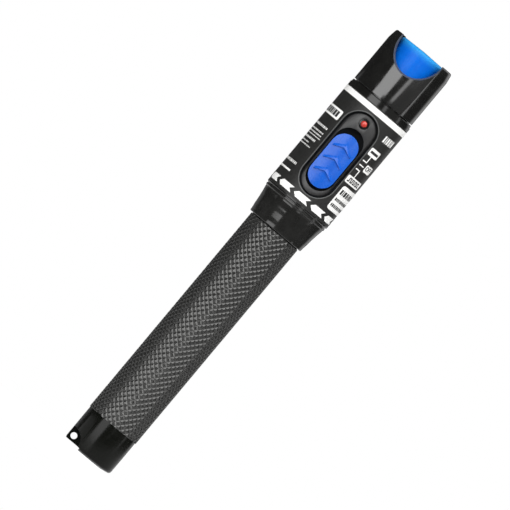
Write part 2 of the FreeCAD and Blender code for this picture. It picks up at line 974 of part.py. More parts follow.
def bent_pin(x, y):
    """Pin of the diode that runs down, bends through a quarter turn and ends on the back of the board."""
    start_z = module_z + diode_setback
    bend_z = start_z - diode_pin_drop
    down = Part.makeCylinder(diode_pin_radius, diode_pin_drop, Vector(x, y, bend_z))
    centre = Vector(x, y - diode_pin_bend, bend_z)
    elbow = Part.Face(Part.Wire([Part.Circle(Vector(x, y, bend_z), AXIS_Z, diode_pin_radius).toShape()]))
    elbow = elbow.revolve(centre, -AXIS_X, 90)
    run_z = bend_z - diode_pin_bend
    run_from = y - diode_pin_bend
    run = Part.makeCylinder(
        diode_pin_radius, run_from + board_back_depth, Vector(x, run_from, run_z), -AXIS_Y
    )
    return down.fuse(elbow).fuse(run)


def laser_diode():
    """Canned laser diode with a round flange and its three pins bent over to the board."""
    flange_z = module_z + diode_setback
    can_z = flange_z + diode_flange_height
    diode = turned([
        (0, flange_z),
        (diode_flange_radius, flange_z),
        (diode_flange_radius, can_z),
        (diode_can_radius, can_z),
        (diode_can_radius, can_z + diode_can_height),
        (0, can_z + diode_can_height),
    ])
    for angle in (90, 0, 180):
        turn = math.radians(angle)
        x = diode_pin_circle * math.cos(turn)
        y = diode_pin_circle * math.sin(turn)
        diode = diode.fuse(bent_pin(x, y))
    return diode.removeSplitter()


def lens_bottom_z():
    return module_z + module_lens_bore_depth - lens_ring_height - lens_edge


def focus_lens():
    """Small lens with a flat rim and two domed faces, seated in the module's lens bore."""
    radius = module_lens_bore_radius - seat_gap
    low = lens_bottom_z()
    high = low + lens_edge
    face = lens_face_radius
    lower_dome = Part.Arc(Vector(-face, 0, low), Vector(0, 0, low - lens_sag), Vector(face, 0, low))
    upper_dome = Part.Arc(Vector(face, 0, high), Vector(0, 0, high + lens_sag), Vector(-face, 0, high))
    corners = [
        Vector(face, 0, low),
        Vector(radius, 0, low),
        Vector(radius, 0, high),
        Vector(face, 0, high),
    ]
    edges = [lower_dome.toShape()]
    for start, end in zip(corners, corners[1:]):
        edges.append(Part.LineSegment(start, end).toShape())
    edges.append(upper_dome.toShape())
    edges.append(Part.LineSegment(Vector(-face, 0, high), Vector(-face, 0, low)).toShape())
    section = Part.Face(Part.Wire(edges))
    half = section.common(block(0, radius, -1, 1, low - lens_sag, high + lens_sag))
    return half.revolve(ORIGIN, AXIS_Z, 360)


def lens_ring():
    """Threaded ring that holds the lens by its rim against the module's shoulder."""
    low = lens_bottom_z() + lens_edge
    high = low + lens_ring_height
    return ring(module_lens_bore_radius - seat_gap, lens_face_radius, low, high)


def ceramic_sleeve():
    """Split ceramic sleeve that grips a 2.5 mm ferrule."""
    sleeve = ring(sleeve_outer, ferrule_radius, sleeve_z, sleeve_top_z)
    half = sleeve_slit / 2
    return sleeve.cut(block(-half, half, 0, 2 * sleeve_outer, sleeve_z, sleeve_top_z))


def ferrule_port():
    """Turned port with a nut end that screws on the module's neck, and a barrel round the ceramic sleeve."""
    neck_room = neck_top_z + seat_gap
    body = turned([
        (module_neck_radius + running_gap, floor_top_z),
        (port_nut_radius, floor_top_z),
        (port_nut_radius, nut_top_z, port_edge),
        (port_radius, nut_top_z),
        (port_radius, port_top_z, port_edge),
        (port_lip_radius, port_top_z),
        (port_lip_radius, sleeve_top_z),
        (sleeve_bore, sleeve_top_z),
        (sleeve_bore, neck_room),
        (module_neck_radius + running_gap, neck_room),
    ])
    flat = port_flats / 2
    reach = 2 * port_nut_radius
    for side in (-1, 1):
        x_from, x_to = sorted((side * flat, side * reach))
        body = body.cut(block(x_from, x_to, -reach, reach, floor_top_z - 1, nut_top_z))
    return body


def port_shroud():
    """Moulded shroud: a spigot in the housing, a floor round the port and a wall with two opposite cut-outs."""
    spigot_bore = spigot_radius - shroud_spigot_wall
    neck_radius = shroud_radius - shroud_neck_depth
    hole = module_neck_radius + seat_gap
    body = turned([
        (spigot_bore, spigot_bottom_z),
        (spigot_radius, spigot_bottom_z),
        (spigot_radius, housing_top_z),
        (neck_radius, housing_top_z),
        (neck_radius, shroud_z),
        (shroud_radius, shroud_z, shroud_foot_edge),
        (shroud_radius, tip_z - shroud_taper_height),
        (shroud_radius - shroud_tip_taper, tip_z, shroud_tip_edge),
        (shroud_bore, tip_z),
        (shroud_bore, floor_top_z),
        (hole, floor_top_z),
        (hole, floor_bottom_z),
        (spigot_bore, floor_bottom_z),
    ])
    return body.cut(finger_cutouts())


def finger_cutouts():
    """Drafted round openings in the front and back of the wall, wider on its outside."""
    middle = Vector(0, 0, tip_z)
    reach = shroud_radius + 1
    inner_radius = cutout_depth - cutout_draft * shroud_radius
    outer_radius = cutout_depth + cutout_draft
    front = Part.makeCone(inner_radius, outer_radius, reach, middle, -AXIS_Y)
    back = Part.makeCone(inner_radius, outer_radius, reach, middle, AXIS_Y)
    cuts = front.fuse(back)
    cuts.rotate(ORIGIN, AXIS_Z, shroud_turn)
    return cuts


def dust_cap():
    """Moulded cap: a cup with a domed roof, and an inner boss that grips the port."""
    top = tip_z - cap_below_tip
    roof = top - cap_roof
    boss_outer = cap_boss_bore + cap_boss_wall
    return turned([
        (0, top + cap_dome),
        (cap_radius, top, cap_edge),
        (cap_radius, floor_top_z + cap_skirt_gap),
        (cap_radius - cap_wall, floor_top_z + cap_skirt_gap),
        (cap_radius - cap_wall, roof),
        (boss_outer, roof),
        (boss_outer, nut_top_z + cap_boss_gap),
        (cap_boss_bore, nut_top_z + cap_boss_gap),
        (cap_boss_bore, roof),
        (0, roof),
    ])


def pieces():
    made = {
        "barrel": barrel(),
        "tail_spring": tail_spring(),
        "coupling_collar": collar(),
        "negative_ring": negative_ring(),
        "contact_board": contact_board(),
        "positive_contact": positive_contact(),
        "head_housing": head_housing(),
        "label_wrap": label_wrap(),
        "label_print": label_print(),
        "switch_bezel": switch_bezel(),
        "slider_knob": slider_knob(),
        "switch_lever": switch_lever(),
        "switch_case": switch_case(),
        "indicator_lamp": indicator_lamp(),
        "circuit_board": circuit_board(),
        "board_screws": board_screws(),
        "driver_chip": driver_chip(),
        "chip_resistors": chip_resistors(),
        "capacitor": capacitor(),
        "chassis": chassis(),
        "laser_housing": laser_housing(),
        "laser_diode": laser_diode(),
        "focus_lens": focus_lens(),
        "lens_ring": lens_ring(),
        "ceramic_sleeve": ceramic_sleeve(),
        "ferrule_port": ferrule_port(),
        "port_shroud": port_shroud(),
        "dust_cap": dust_cap(),
    }
    for index in range(cell_count):
        made[f"cell_{index + 1}"] = cell(index)
    return made


def main():
    os.makedirs("parts", exist_ok=True)
    for name, shape in pieces().items():
        shape.exportStep(f"parts/{name}.step")
        box = shape.BoundBox
        print(f"{name}: {len(shape.Solids)} solids, valid {shape.isValid()}, {shape.Volume:.2f} mm3")
        print(f"    z {box.ZMin:.2f} to {box.ZMax:.2f}")


main()
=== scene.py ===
"""The looks of a pen-type visual fault locator that stands on its tail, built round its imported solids."""

import bpy
import math
from mathutils import Matrix, Vector


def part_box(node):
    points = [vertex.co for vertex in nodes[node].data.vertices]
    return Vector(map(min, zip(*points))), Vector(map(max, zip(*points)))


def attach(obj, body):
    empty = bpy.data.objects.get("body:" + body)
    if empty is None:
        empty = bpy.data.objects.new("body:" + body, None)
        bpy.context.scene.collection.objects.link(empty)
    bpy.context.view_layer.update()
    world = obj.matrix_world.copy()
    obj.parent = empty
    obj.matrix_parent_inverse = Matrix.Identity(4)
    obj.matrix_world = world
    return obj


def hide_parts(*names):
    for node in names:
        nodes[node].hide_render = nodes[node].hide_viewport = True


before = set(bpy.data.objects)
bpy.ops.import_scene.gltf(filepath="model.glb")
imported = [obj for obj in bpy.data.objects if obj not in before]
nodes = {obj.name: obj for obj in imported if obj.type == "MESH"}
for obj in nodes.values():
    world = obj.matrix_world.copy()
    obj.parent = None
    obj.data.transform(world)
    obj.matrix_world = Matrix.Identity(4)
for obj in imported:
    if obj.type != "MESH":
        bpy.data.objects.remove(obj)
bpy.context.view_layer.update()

mm = 0.001
tail_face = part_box("barrel")[0].z
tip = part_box("port_shroud")[1].z


# ---------------------------------------------------------------------------
# Camera: level with the middle of the pen and square to it, rolled so that the
# tip points up and to the right. A long lens keeps the tube's sides parallel.
# ---------------------------------------------------------------------------
camera_distance = 8.0
view_width = 170.0 * mm
roll = math.radians(50.12)
pen_middle = Vector((0.07 * mm, 0, 87.75 * mm))

lens = bpy.data.cameras.new("camera")
lens.sensor_width = 36
lens.lens = lens.sensor_width * camera_distance / view_width
lens.clip_end = 100
camera = bpy.data.objects.new("camera", lens)
bpy.context.scene.collection.objects.link(camera)
right = Vector((math.sin(roll), 0, math.cos(roll)))
up = Vector((-math.cos(roll), 0, math.sin(roll)))
back = Vector((0, -1, 0))
camera.matrix_world = Matrix.Translation(pen_middle + back * camera_distance) @ Matrix(
    (right, up, back)
).transposed().to_4x4()
bpy.context.scene.camera = camera
bpy.context.scene.view_settings.view_transform = "Standard"


# ---------------------------------------------------------------------------
# Studio: softboxes in front of the pen, narrow upright panels that draw lines
# down its gloss, two side fills, and a pale floor and surround that show white.
# ---------------------------------------------------------------------------
def area_light(name, way, distance, axes, width, height, radiance, glossy=True):
    """A panel that the camera doesn't see, a way off from the pen's middle, turned to its own three axes."""
    light = bpy.data.lights.new(name, "AREA")
    light.shape = "RECTANGLE"
    light.size = width
    light.size_y = height
    light.energy = radiance * math.pi * width * height
    lamp = bpy.data.objects.new(name, light)
    bpy.context.scene.collection.objects.link(lamp)
    lamp.matrix_world = Matrix.Translation(pen_middle + way * distance) @ Matrix(axes).transposed().to_4x4()
    lamp.visible_camera = False
    lamp.visible_glossy = glossy


def softbox(name, across, along, distance, radiance):
    """A panel square to the view, which spans the given tangents across and along the pen."""
    width = (across[1] - across[0]) * distance
    height = (along[1] - along[0]) * distance
    way = Vector((sum(across) / 2, -1, sum(along) / 2))
    area_light(name, way, distance, ((1, 0, 0), (0, 0, 1), (0, -1, 0)), width, height, radiance)


def upright_panel(name, azimuths, along, distance, radiance, glossy=True):
    """A panel beside the pen, between two azimuths from the camera towards +X and two tangents along it."""
    low, high = (math.radians(a) for a in azimuths)
    turn = (low + high) / 2
    width = 2 * distance * math.tan((high - low) / 2)
    height = (along[1] - along[0]) * distance
    out = Vector((math.sin(turn), -math.cos(turn), 0))
    side = Vector((math.cos(turn), math.sin(turn), 0))
    lift = Vector((0, 0, sum(along) / 2))
    area_light(name, out + lift, distance, (side, (0, 0, 1), out), width, height, radiance, glossy)


def add_node(tree, kind, values=None):
    """A new shader node, with some of its inputs set by name or by number."""
    node = tree.nodes.new("ShaderNode" + kind)
    for entry, value in (values or {}).items():
        node.inputs[entry].default_value = value
    return node


def link_nodes(tree, *links):
    """Links between nodes, each given as a node, its output, the node it leads to and that one's input."""
    for giver, output, taker, entry in links:
        tree.links.new(giver.outputs[output], taker.inputs[entry])


softbox("key_light", (-0.64, 1.20), (0.40, 1.25), 1.2, 3.2)
softbox("top_light", (-0.50, 0.90), (1.25, 2.20), 1.2, 4.5)
softbox("band_light", (-0.93, -0.10), (-0.045, 0.42), 1.2, 3.2)
softbox("low_band_light", (-1.00, -0.22), (-0.25, -0.045), 1.2, 3.2)
softbox("tail_light", (-1.00, 1.00), (-1.10, -0.50), 1.2, 0.2)
upright_panel("low_panel", (11, 69), (-0.10, 0.40), 1.3, 0.2)
upright_panel("line_light", (14, 24), (-0.045, 0.40), 1.25, 1.9)
upright_panel("strip_light", (73.5, 82), (-0.10, 0.40), 1.2, 1.6)
upright_panel("rim_light", (88, 140), (0.45, 1.10), 1.3, 0.6)
upright_panel("left_rim", (-165, -128), (-0.12, 0.02), 1.3, 0.2)
upright_panel("left_fill", (-115, -75), (-0.43, 0.43), 1.4, 1.2, glossy=False)
upright_panel("right_fill", (80, 120), (-0.43, 0.43), 1.4, 1.6, glossy=False)

# The surround shows as white. Gloss reflects it dark, but for a strip of white backdrop behind the pen.
surround_diffuse = 0.24
surround_dark = 0.03
backdrop_way = (0.53, 0.85, 0)
backdrop_start, backdrop_full = 0.95, 1.02

world = bpy.data.worlds.new("surround")
bpy.context.scene.world = world
world.use_nodes = True
tree = world.node_tree
tree.nodes.clear()
world_out = add_node(tree, "OutputWorld")
path = add_node(tree, "LightPath")
glow = add_node(tree, "Background", {"Color": (1, 1, 1, 1)})
direction = add_node(tree, "TexCoord")
level = add_node(tree, "VectorMath", {1: (1, 1, 0)})
level.operation = "MULTIPLY"
unit = add_node(tree, "VectorMath")
unit.operation = "NORMALIZE"
behind = add_node(tree, "VectorMath", {1: backdrop_way})
behind.operation = "DOT_PRODUCT"
edge = add_node(tree, "MapRange", {
    "From Min": backdrop_start, "From Max": backdrop_full, "To Min": surround_dark, "To Max": 1.0})
by_gloss = add_node(tree, "Mix", {"A": surround_diffuse})
seen = add_node(tree, "Math")
seen.operation = "MAXIMUM"
by_sight = add_node(tree, "Mix", {"B": 1.0})
link_nodes(
    tree,
    (direction, "Generated", level, 0),
    (level, "Vector", unit, 0),
    (unit, "Vector", behind, 0),
    (behind, "Value", edge, "Value"),
    (path, "Is Glossy Ray", by_gloss, "Factor"),
    (edge, "Result", by_gloss, "B"),
    (path, "Is Camera Ray", seen, 0),
    (path, "Is Transmission Ray", seen, 1),
    (seen, "Value", by_sight, "Factor"),
    (by_gloss, "Result", by_sight, "A"),
    (by_sight, "Result", glow, "Strength"),
    (glow, "Background", world_out, "Surface"),
)

# The floor lies low enough for the barrel to unscrew above it.
floor_width = 0.7
floor_front = 0.12
floor_drop = 6.5 * mm
floor_tone = (0.8, 0.8, 0.8, 1)
shadow_tone = (0.35, 0.35, 0.35, 1)
floor_glow = 0.92
bpy.ops.object.select_all(action="DESELECT")
floor_place = (0, floor_width / 2 - floor_front, tail_face - floor_drop)
bpy.ops.mesh.primitive_plane_add(size=floor_width, location=floor_place)
floor = bpy.context.object
floor.name = "floor"
pale = bpy.data.materials.new("pale_floor")
pale.use_nodes = True
tree = pale.node_tree
tree.nodes.clear()
floor_out = add_node(tree, "OutputMaterial")
path = add_node(tree, "LightPath")
matt = add_node(tree, "BsdfDiffuse", {"Color": floor_tone})
veil = add_node(tree, "BsdfDiffuse", {"Color": shadow_tone})
white = add_node(tree, "Emission", {"Strength": floor_glow})
both = add_node(tree, "AddShader")
seen = add_node(tree, "Math")
seen.operation = "MAXIMUM"
pick_face = add_node(tree, "MixShader")
link_nodes(
    tree,
    (veil, "BSDF", both, 0),
    (white, "Emission", both, 1),
    (path, "Is Camera Ray", seen, 0),
    (path, "Is Transmission Ray", seen, 1),
    (seen, "Value", pick_face, "Fac"),
    (matt, "BSDF", pick_face, 1),
    (both, "Shader", pick_face, 2),
    (pick_face, "Shader", floor_out, "Surface"),
)
floor.data.materials.append(pale)


# ---------------------------------------------------------------------------
# Barrel: a turned aluminium tube, anodised dark grey, with a rolled diamond
# knurl, a domed tail with a milled lanyard eye, and a thread for the collar.
# ---------------------------------------------------------------------------
barrel_radius = 9.68 * mm
tail_flat = 6.2 * mm
tail_rise = 0.62 * mm
tail_round = 1.2 * mm
tail_floor = 7.58 * mm
knurl_crest = 9.93 * mm
knurl_foot = 13.85 * mm
knurl_head = 98.0 * mm
knurl_slope = 0.46 * mm
knurl_height = 0.18 * mm
falling_grooves, falling_pitch = 31, 2.015 * mm
rising_grooves, rising_pitch = 27, 2.301 * mm
spare_rows = 3
weld = 0.01 * mm
bore_radius = 7.5 * mm
shoulder_z = 98.28 * mm
shoulder_chamfer = 0.18 * mm
thread_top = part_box("barrel")[1].z
thread_crest = 8.75 * mm
thread_root = 8.3 * mm
thread_chamfer = 0.3 * mm
thread_pitch = 1.0 * mm
thread_turns = 7
steps_a_turn = 72
eye_x, eye_z = -7.65 * mm, 2.83 * mm
eye_radius = 1.15 * mm
eye_half_web = 1.0 * mm
scoop_x, scoop_z = -9.3 * mm, 0.6 * mm
scoop_radius = 5.0 * mm
step_x, step_z = -3.6 * mm, 0.85 * mm
clear_of_pen = 14 * mm


def srgb(red, green, blue):
    """A screen colour, from 0 to 255, as the linear colour that a shader takes."""
    linear = []
    for value in (red, green, blue):
        share = value / 255
        linear.append(share / 12.92 if share <= 0.04045 else ((share + 0.055) / 1.055) ** 2.4)
    return (*linear, 1.0)


def finish(name, colour, tint, grain, roughness, metallic=0.0, specular=0.5, coat=0.0, relief=0.0,
           relief_grain=4000):
    """A finish that drifts between two tones and two roughnesses, with a fine relief in its surface."""
    material = bpy.data.materials.new(name)
    material.use_nodes = True
    tree = material.node_tree
    shader = tree.nodes["Principled BSDF"]
    shader.inputs["Metallic"].default_value = metallic
    shader.inputs["Specular IOR Level"].default_value = specular
    shader.inputs["Coat Weight"].default_value = coat
    shader.inputs["Coat Roughness"].default_value = 0.08
    place = add_node(tree, "TexCoord")
    drift = add_node(tree, "TexNoise", {"Scale": grain, "Detail": 4})
    tones = add_node(tree, "ValToRGB")
    for element, position, tone in zip(tones.color_ramp.elements, (0.35, 0.65), (colour, tint)):
        element.position = position
        element.color = tone
    wear = add_node(tree, "MapRange", {
        "From Min": 0.3, "From Max": 0.7, "To Min": roughness[0], "To Max": roughness[1]})
    link_nodes(
        tree,
        (place, "Object", drift, "Vector"),
        (drift, "Fac", tones, "Fac"),
        (tones, "Color", shader, "Base Color"),
        (drift, "Fac", wear, "Value"),
        (wear, "Result", shader, "Roughness"),
    )
    if relief:
        fine = add_node(tree, "TexNoise", {"Scale": relief_grain, "Detail": 3})
        bump = add_node(tree, "Bump", {"Strength": relief, "Distance": 0.02 * mm})
        link_nodes(
            tree,
            (place, "Object", fine, "Vector"),
            (fine, "Fac", bump, "Height"),
            (bump, "Normal", shader, "Normal"),
        )
    return material


def dress(name, material):
    """A solid that keeps its own shape takes a finish."""
    mesh = nodes[name].data
    mesh.materials.clear()
    mesh.materials.append(material)


def pick(piece, kind, test):
    """Edit mode, with the vertices, edges or faces selected whose middle and direction pass a test."""
    bpy.context.view_layer.objects.active = piece
    bpy.ops.object.mode_set(mode="EDIT")
    bpy.ops.mesh.select_mode(type=kind)
    bpy.ops.mesh.select_all(action="DESELECT")
    bpy.ops.object.mode_set(mode="OBJECT")
    mesh = piece.data
    if kind == "VERT":
        for vertex in mesh.vertices:
            vertex.select = bool(test(vertex.co, vertex.normal))
    elif kind == "EDGE":
        for edge in mesh.edges:
            start, end = (mesh.vertices[i].co for i in edge.vertices)
            edge.select = bool(test((start + end) / 2, (end - start).normalized()))
    else:
        for face in mesh.polygons:
            face.select = bool(test(face.center, face.normal))
    bpy.ops.object.mode_set(mode="EDIT")


def rounding(before, corner, after, radius, steps=5):
    """Points of the arc that rounds a corner of a profile."""
    here = Vector(corner)
    back_way = (Vector(before) - here).normalized()
    on_way = (Vector(after) - here).normalized()
    half = back_way.angle(on_way) / 2
    centre = here + (back_way + on_way).normalized() * radius / math.sin(half)
    start = (here + back_way * radius / math.tan(half) - centre).normalized()
    end = (here + on_way * radius / math.tan(half) - centre).normalized()
    return [tuple(centre + start.slerp(end, i / steps) * radius) for i in range(steps + 1)]


def drawn(name, points):
    """A line of points extruded from one vertex, as the start of a shape."""
    bpy.ops.object.select_all(action="DESELECT")
    bpy.ops.mesh.primitive_plane_add(size=mm)
    piece = bpy.context.object
    piece.name = name
    piece.data.name = name
    bpy.ops.object.mode_set(mode="EDIT")
    bpy.ops.mesh.select_mode(type="VERT")
    bpy.ops.mesh.select_all(action="SELECT")
    bpy.ops.mesh.merge(type="CENTER")
    bpy.ops.transform.translate(value=points[0])
    for here, there in zip(points, points[1:]):
        step = Vector(there) - Vector(here)
        bpy.ops.mesh.extrude_vertices_move(TRANSFORM_OT_translate={"value": step})
    bpy.ops.mesh.select_all(action="SELECT")
    return piece


def turned(name, corners, steps=144):
    """A lathe shape about Z, spun from a closed line of (radius, z) or (radius, z, rounding) corners."""
    profile = []
    for i, corner in enumerate(corners):
        if len(corner) > 2:
            after = corners[(i + 1) % len(corners)]
            profile += rounding(corners[i - 1][:2], corner[:2], after[:2], corner[2])
        else:
            profile.append(corner)
    piece = drawn(name, [(radius, 0, z) for radius, z in profile])
    if max(profile[0][0], profile[-1][0]) > 0:
        bpy.ops.mesh.edge_face_add()
        bpy.ops.mesh.delete(type="ONLY_FACE")
        bpy.ops.mesh.select_all(action="SELECT")
    bpy.ops.mesh.spin(steps=steps, angle=2 * math.pi, center=(0, 0, 0), axis=(0, 0, 1))
    bpy.ops.mesh.select_all(action="SELECT")
    bpy.ops.mesh.remove_doubles(threshold=0.0005 * mm)
    bpy.ops.mesh.normals_make_consistent(inside=False)
    bpy.ops.object.mode_set(mode="OBJECT")
    return piece


def cylinder(radius, start, end, vertices=48, end_radius=None):
    """A round bar between two points, which may be tapered, to cut with or to build on."""
    run = Vector(end) - Vector(start)
    bpy.ops.object.select_all(action="DESELECT")
    bpy.ops.mesh.primitive_cone_add(
        vertices=vertices, radius1=radius, radius2=end_radius or radius, depth=run.length)
    bar = bpy.context.object
    bar.data.transform(run.to_track_quat("Z", "Y").to_matrix().to_4x4())
    bar.data.transform(Matrix.Translation((Vector(start) + Vector(end)) / 2))
    return bar


def brick(low, high):
    """A block between two corners, to cut with or to build on."""
    low, high = Vector(low), Vector(high)
    bpy.ops.object.select_all(action="DESELECT")
    bpy.ops.mesh.primitive_cube_add(size=1)
    block = bpy.context.object
    block.data.transform(Matrix.Diagonal((*(high - low), 1)))
    block.data.transform(Matrix.Translation((low + high) / 2))
    return block


def carve(piece, tool, how="DIFFERENCE"):
    """One piece cut by, joined to or kept inside another, which is used up."""
    bpy.context.view_layer.objects.active = piece
    cut = piece.modifiers.new("cut", "BOOLEAN")
    cut.operation = how
    cut.object = tool
    cut.solver = "EXACT"
    bpy.ops.object.modifier_apply(modifier=cut.name)
    bpy.data.objects.remove(tool)


def bend_round(piece, angle):
    """A flat piece in the XZ plane bent about Z; its outer side is the one that faces -Y."""
    bpy.context.view_layer.objects.active = piece
    bend = piece.modifiers.new("bend", "SIMPLE_DEFORM")
    bend.deform_method = "BEND"
    bend.deform_axis = "Z"
    bend.angle = angle
    bpy.ops.object.modifier_apply(modifier=bend.name)


def put_together(piece, *others):
    """Several meshes as one piece."""
    bpy.ops.object.select_all(action="DESELECT")
    for other in (piece, *others):
        other.select_set(True)
    bpy.context.view_layer.objects.active = piece
    bpy.ops.object.join()
    return piece


def soften(piece, width, segments=2, angle=35):
    """Small rounded edges, as a mould or a file leaves them."""
    bpy.context.view_layer.objects.active = piece
    bevel = piece.modifiers.new("soft_edges", "BEVEL")
    bevel.width = width
    bevel.segments = segments
    bevel.limit_method = "ANGLE"
    bevel.angle_limit = math.radians(angle)
    bevel.use_clamp_overlap = True
    bpy.ops.object.modifier_apply(modifier=bevel.name)


def fit(piece, material, body, slot, *stands_for, angle=35):
    """A finished piece gets its finish, its smooth shading, its body and the solids that it stands for."""
    bpy.ops.object.select_all(action="DESELECT")
    piece.select_set(True)
    bpy.context.view_layer.objects.active = piece
    bpy.ops.object.shade_smooth_by_angle(angle=math.radians(angle))
    if material:
        piece.data.materials.clear()
        piece.data.materials.append(material)
    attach(piece, body)
    if stands_for:
        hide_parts(*stands_for)


def on_grip(place):
    """Whether a place lies on the knurled part of the tube's outside."""
    return knurl_foot < place.z < knurl_head and place.xy.length > 9 * mm


barrel = turned("barrel_tube", [
    (0, 0),
    (tail_flat, 0),
    (barrel_radius, tail_rise, tail_round),
    (barrel_radius, knurl_foot),
    (barrel_radius, knurl_head),
    (barrel_radius - shoulder_chamfer, shoulder_z),
    (thread_root, shoulder_z),
    (thread_root, thread_top - thread_chamfer),
    (thread_root - thread_chamfer, thread_top),
    (bore_radius, thread_top),
    (bore_radius, tail_floor),
    (0, tail_floor),
])
for side in (-1, 1):
    web = (scoop_x, side * eye_half_web, scoop_z)
    carve(barrel, cylinder(scoop_radius, web, (scoop_x, side * clear_of_pen, scoop_z), 96))
carve(barrel, cylinder(eye_radius, (eye_x, -3 * mm, eye_z), (eye_x, 3 * mm, eye_z)))
carve(barrel, brick((-clear_of_pen, -clear_of_pen, -2 * mm), (step_x, clear_of_pen, step_z)))
soften(barrel, 0.12 * mm)
pick(barrel, "FACE", lambda middle, normal: on_grip(middle))
bpy.ops.mesh.delete(type="FACE")
bpy.ops.object.mode_set(mode="OBJECT")

# The knurl: one small pyramid, repeated along the two ways that the rolls cut, trimmed to a sheet and
# bent into a tube. The two rolls aren't quite alike, so the diamonds wander a little round the grip.
knurl_root = knurl_crest - knurl_height
sheet_width = 2 * math.pi * knurl_root
sheet_height = knurl_head - knurl_foot
fall = sheet_width / falling_grooves
rise = sheet_width / rising_grooves
across_falls = 1 / (1 / fall + rising_pitch / (rise * falling_pitch))
across_rises = 1 / (fall / (falling_pitch * rise) + 1 / rising_pitch)
step_up = Vector((across_falls, 0, across_falls * rising_pitch / rise))
step_back = Vector((-across_rises * fall / falling_pitch, 0, across_rises))
ups = math.ceil(falling_grooves + sheet_height / falling_pitch) + spare_rows
backs = math.ceil(rising_grooves + sheet_height / rising_pitch) + spare_rows
first = Vector((0, 0, sheet_height / 2)) - step_up * (ups - 1) / 2 - step_back * (backs - 1) / 2
bpy.ops.object.select_all(action="DESELECT")
bpy.ops.mesh.primitive_plane_add(size=1)
knurl = bpy.context.object
knurl.name = "knurl"
knurl.data.transform(Matrix((step_up, step_back, (0, -1, 0))).transposed().to_4x4())
knurl.data.transform(Matrix.Translation(first))
pick(knurl, "FACE", lambda middle, normal: True)
bpy.ops.mesh.inset(thickness=knurl_slope, depth=knurl_height)
bpy.ops.object.mode_set(mode="OBJECT")
for name, step, count in (("up", step_up, ups), ("back", step_back, backs)):
    row = knurl.modifiers.new(name, "ARRAY")
    row.use_relative_offset = False
    row.use_constant_offset = True
    row.constant_offset_displace = step
    row.count = count
    row.use_merge_vertices = True
    row.merge_threshold = weld
    bpy.ops.object.modifier_apply(modifier=name)
pick(knurl, "FACE", lambda middle, normal: True)
for edge_point, outward in (((-sheet_width / 2, 0, 0), (-1, 0, 0)), ((sheet_width / 2, 0, 0), (1, 0, 0)),
                            ((0, 0, 0), (0, 0, -1)), ((0, 0, sheet_height), (0, 0, 1))):
    bpy.ops.mesh.select_all(action="SELECT")
    bpy.ops.mesh.bisect(plane_co=edge_point, plane_no=outward, clear_outer=True)
bpy.ops.object.mode_set(mode="OBJECT")
bend_round(knurl, 2 * math.pi)
knurl.data.transform(Matrix.Translation((0, -knurl_root, knurl_foot)))
pick(knurl, "FACE", lambda middle, normal: True)
bpy.ops.mesh.remove_doubles(threshold=weld / 2)
bpy.ops.mesh.normals_make_consistent(inside=False)
bpy.ops.object.mode_set(mode="OBJECT")
put_together(barrel, knurl)
tube_skin = barrel_radius - 0.1 * mm
for end in (knurl_foot, knurl_head):
    pick(barrel, "EDGE", lambda middle, run: (
        abs(middle.z - end) < weld and abs(run.z) < 0.01 and middle.xy.length > tube_skin))
    bpy.ops.mesh.bridge_edge_loops()
    bpy.ops.object.mode_set(mode="OBJECT")

# The thread: the section of one ridge, wound up the spigot.
ridge_foot, ridge_crest = thread_root - 0.1 * mm, thread_crest - 0.02 * mm
ridge = drawn("thread", [
    (ridge_foot, 0, shoulder_z + 0.15 * mm),
    (ridge_crest, 0, shoulder_z + 0.55 * mm),
    (ridge_crest, 0, shoulder_z + 0.7 * mm),
    (ridge_foot, 0, shoulder_z + 1.1 * mm),
])
bpy.ops.mesh.edge_face_add()
bpy.ops.object.mode_set(mode="OBJECT")
winding = ridge.modifiers.new("winding", "SCREW")
winding.axis = "Z"
winding.angle = 2 * math.pi * thread_turns
winding.screw_offset = thread_turns * thread_pitch
winding.steps = steps_a_turn * thread_turns
winding.render_steps = steps_a_turn * thread_turns
winding.use_smooth_shade = False
bpy.ops.object.modifier_apply(modifier=winding.name)
put_together(barrel, ridge)

# The grip is painted a lighter grey than the tail, though both are the same black anodise: painted light for
# what the knurl's crests and facets catch.
anodised_knurl_painted_light = finish("anodised_knurl_painted_light", srgb(76, 76, 75), srgb(88, 88, 87), 1200, (0.22, 0.30),
                        metallic=0.8, relief=0.2, relief_grain=9000)
anodised_tail = finish("anodised_tail", srgb(10, 11, 8), srgb(14, 15, 12), 900, (0.14, 0.18),
                       specular=0.22, relief=0.05, relief_grain=9000)
barrel.data.materials.clear()
barrel.data.materials.append(anodised_tail)
barrel.data.materials.append(anodised_knurl_painted_light)
for face in barrel.data.polygons:
    face.material_index = 1 if on_grip(face.center) else 0
fit(barrel, None, "barrel", "barrel", "barrel", angle=20)


# ---------------------------------------------------------------------------
# Spring and cells: a conical steel spring in the tail presses two cells, each
# a steel can in a shrunk plastic sleeve, towards the head.
# ---------------------------------------------------------------------------
spring_steel = finish("spring_steel", srgb(168, 168, 164), srgb(140, 140, 138), 1500, (0.22, 0.38),
                      metallic=1.0, relief=0.1)
dress("tail_spring", spring_steel)


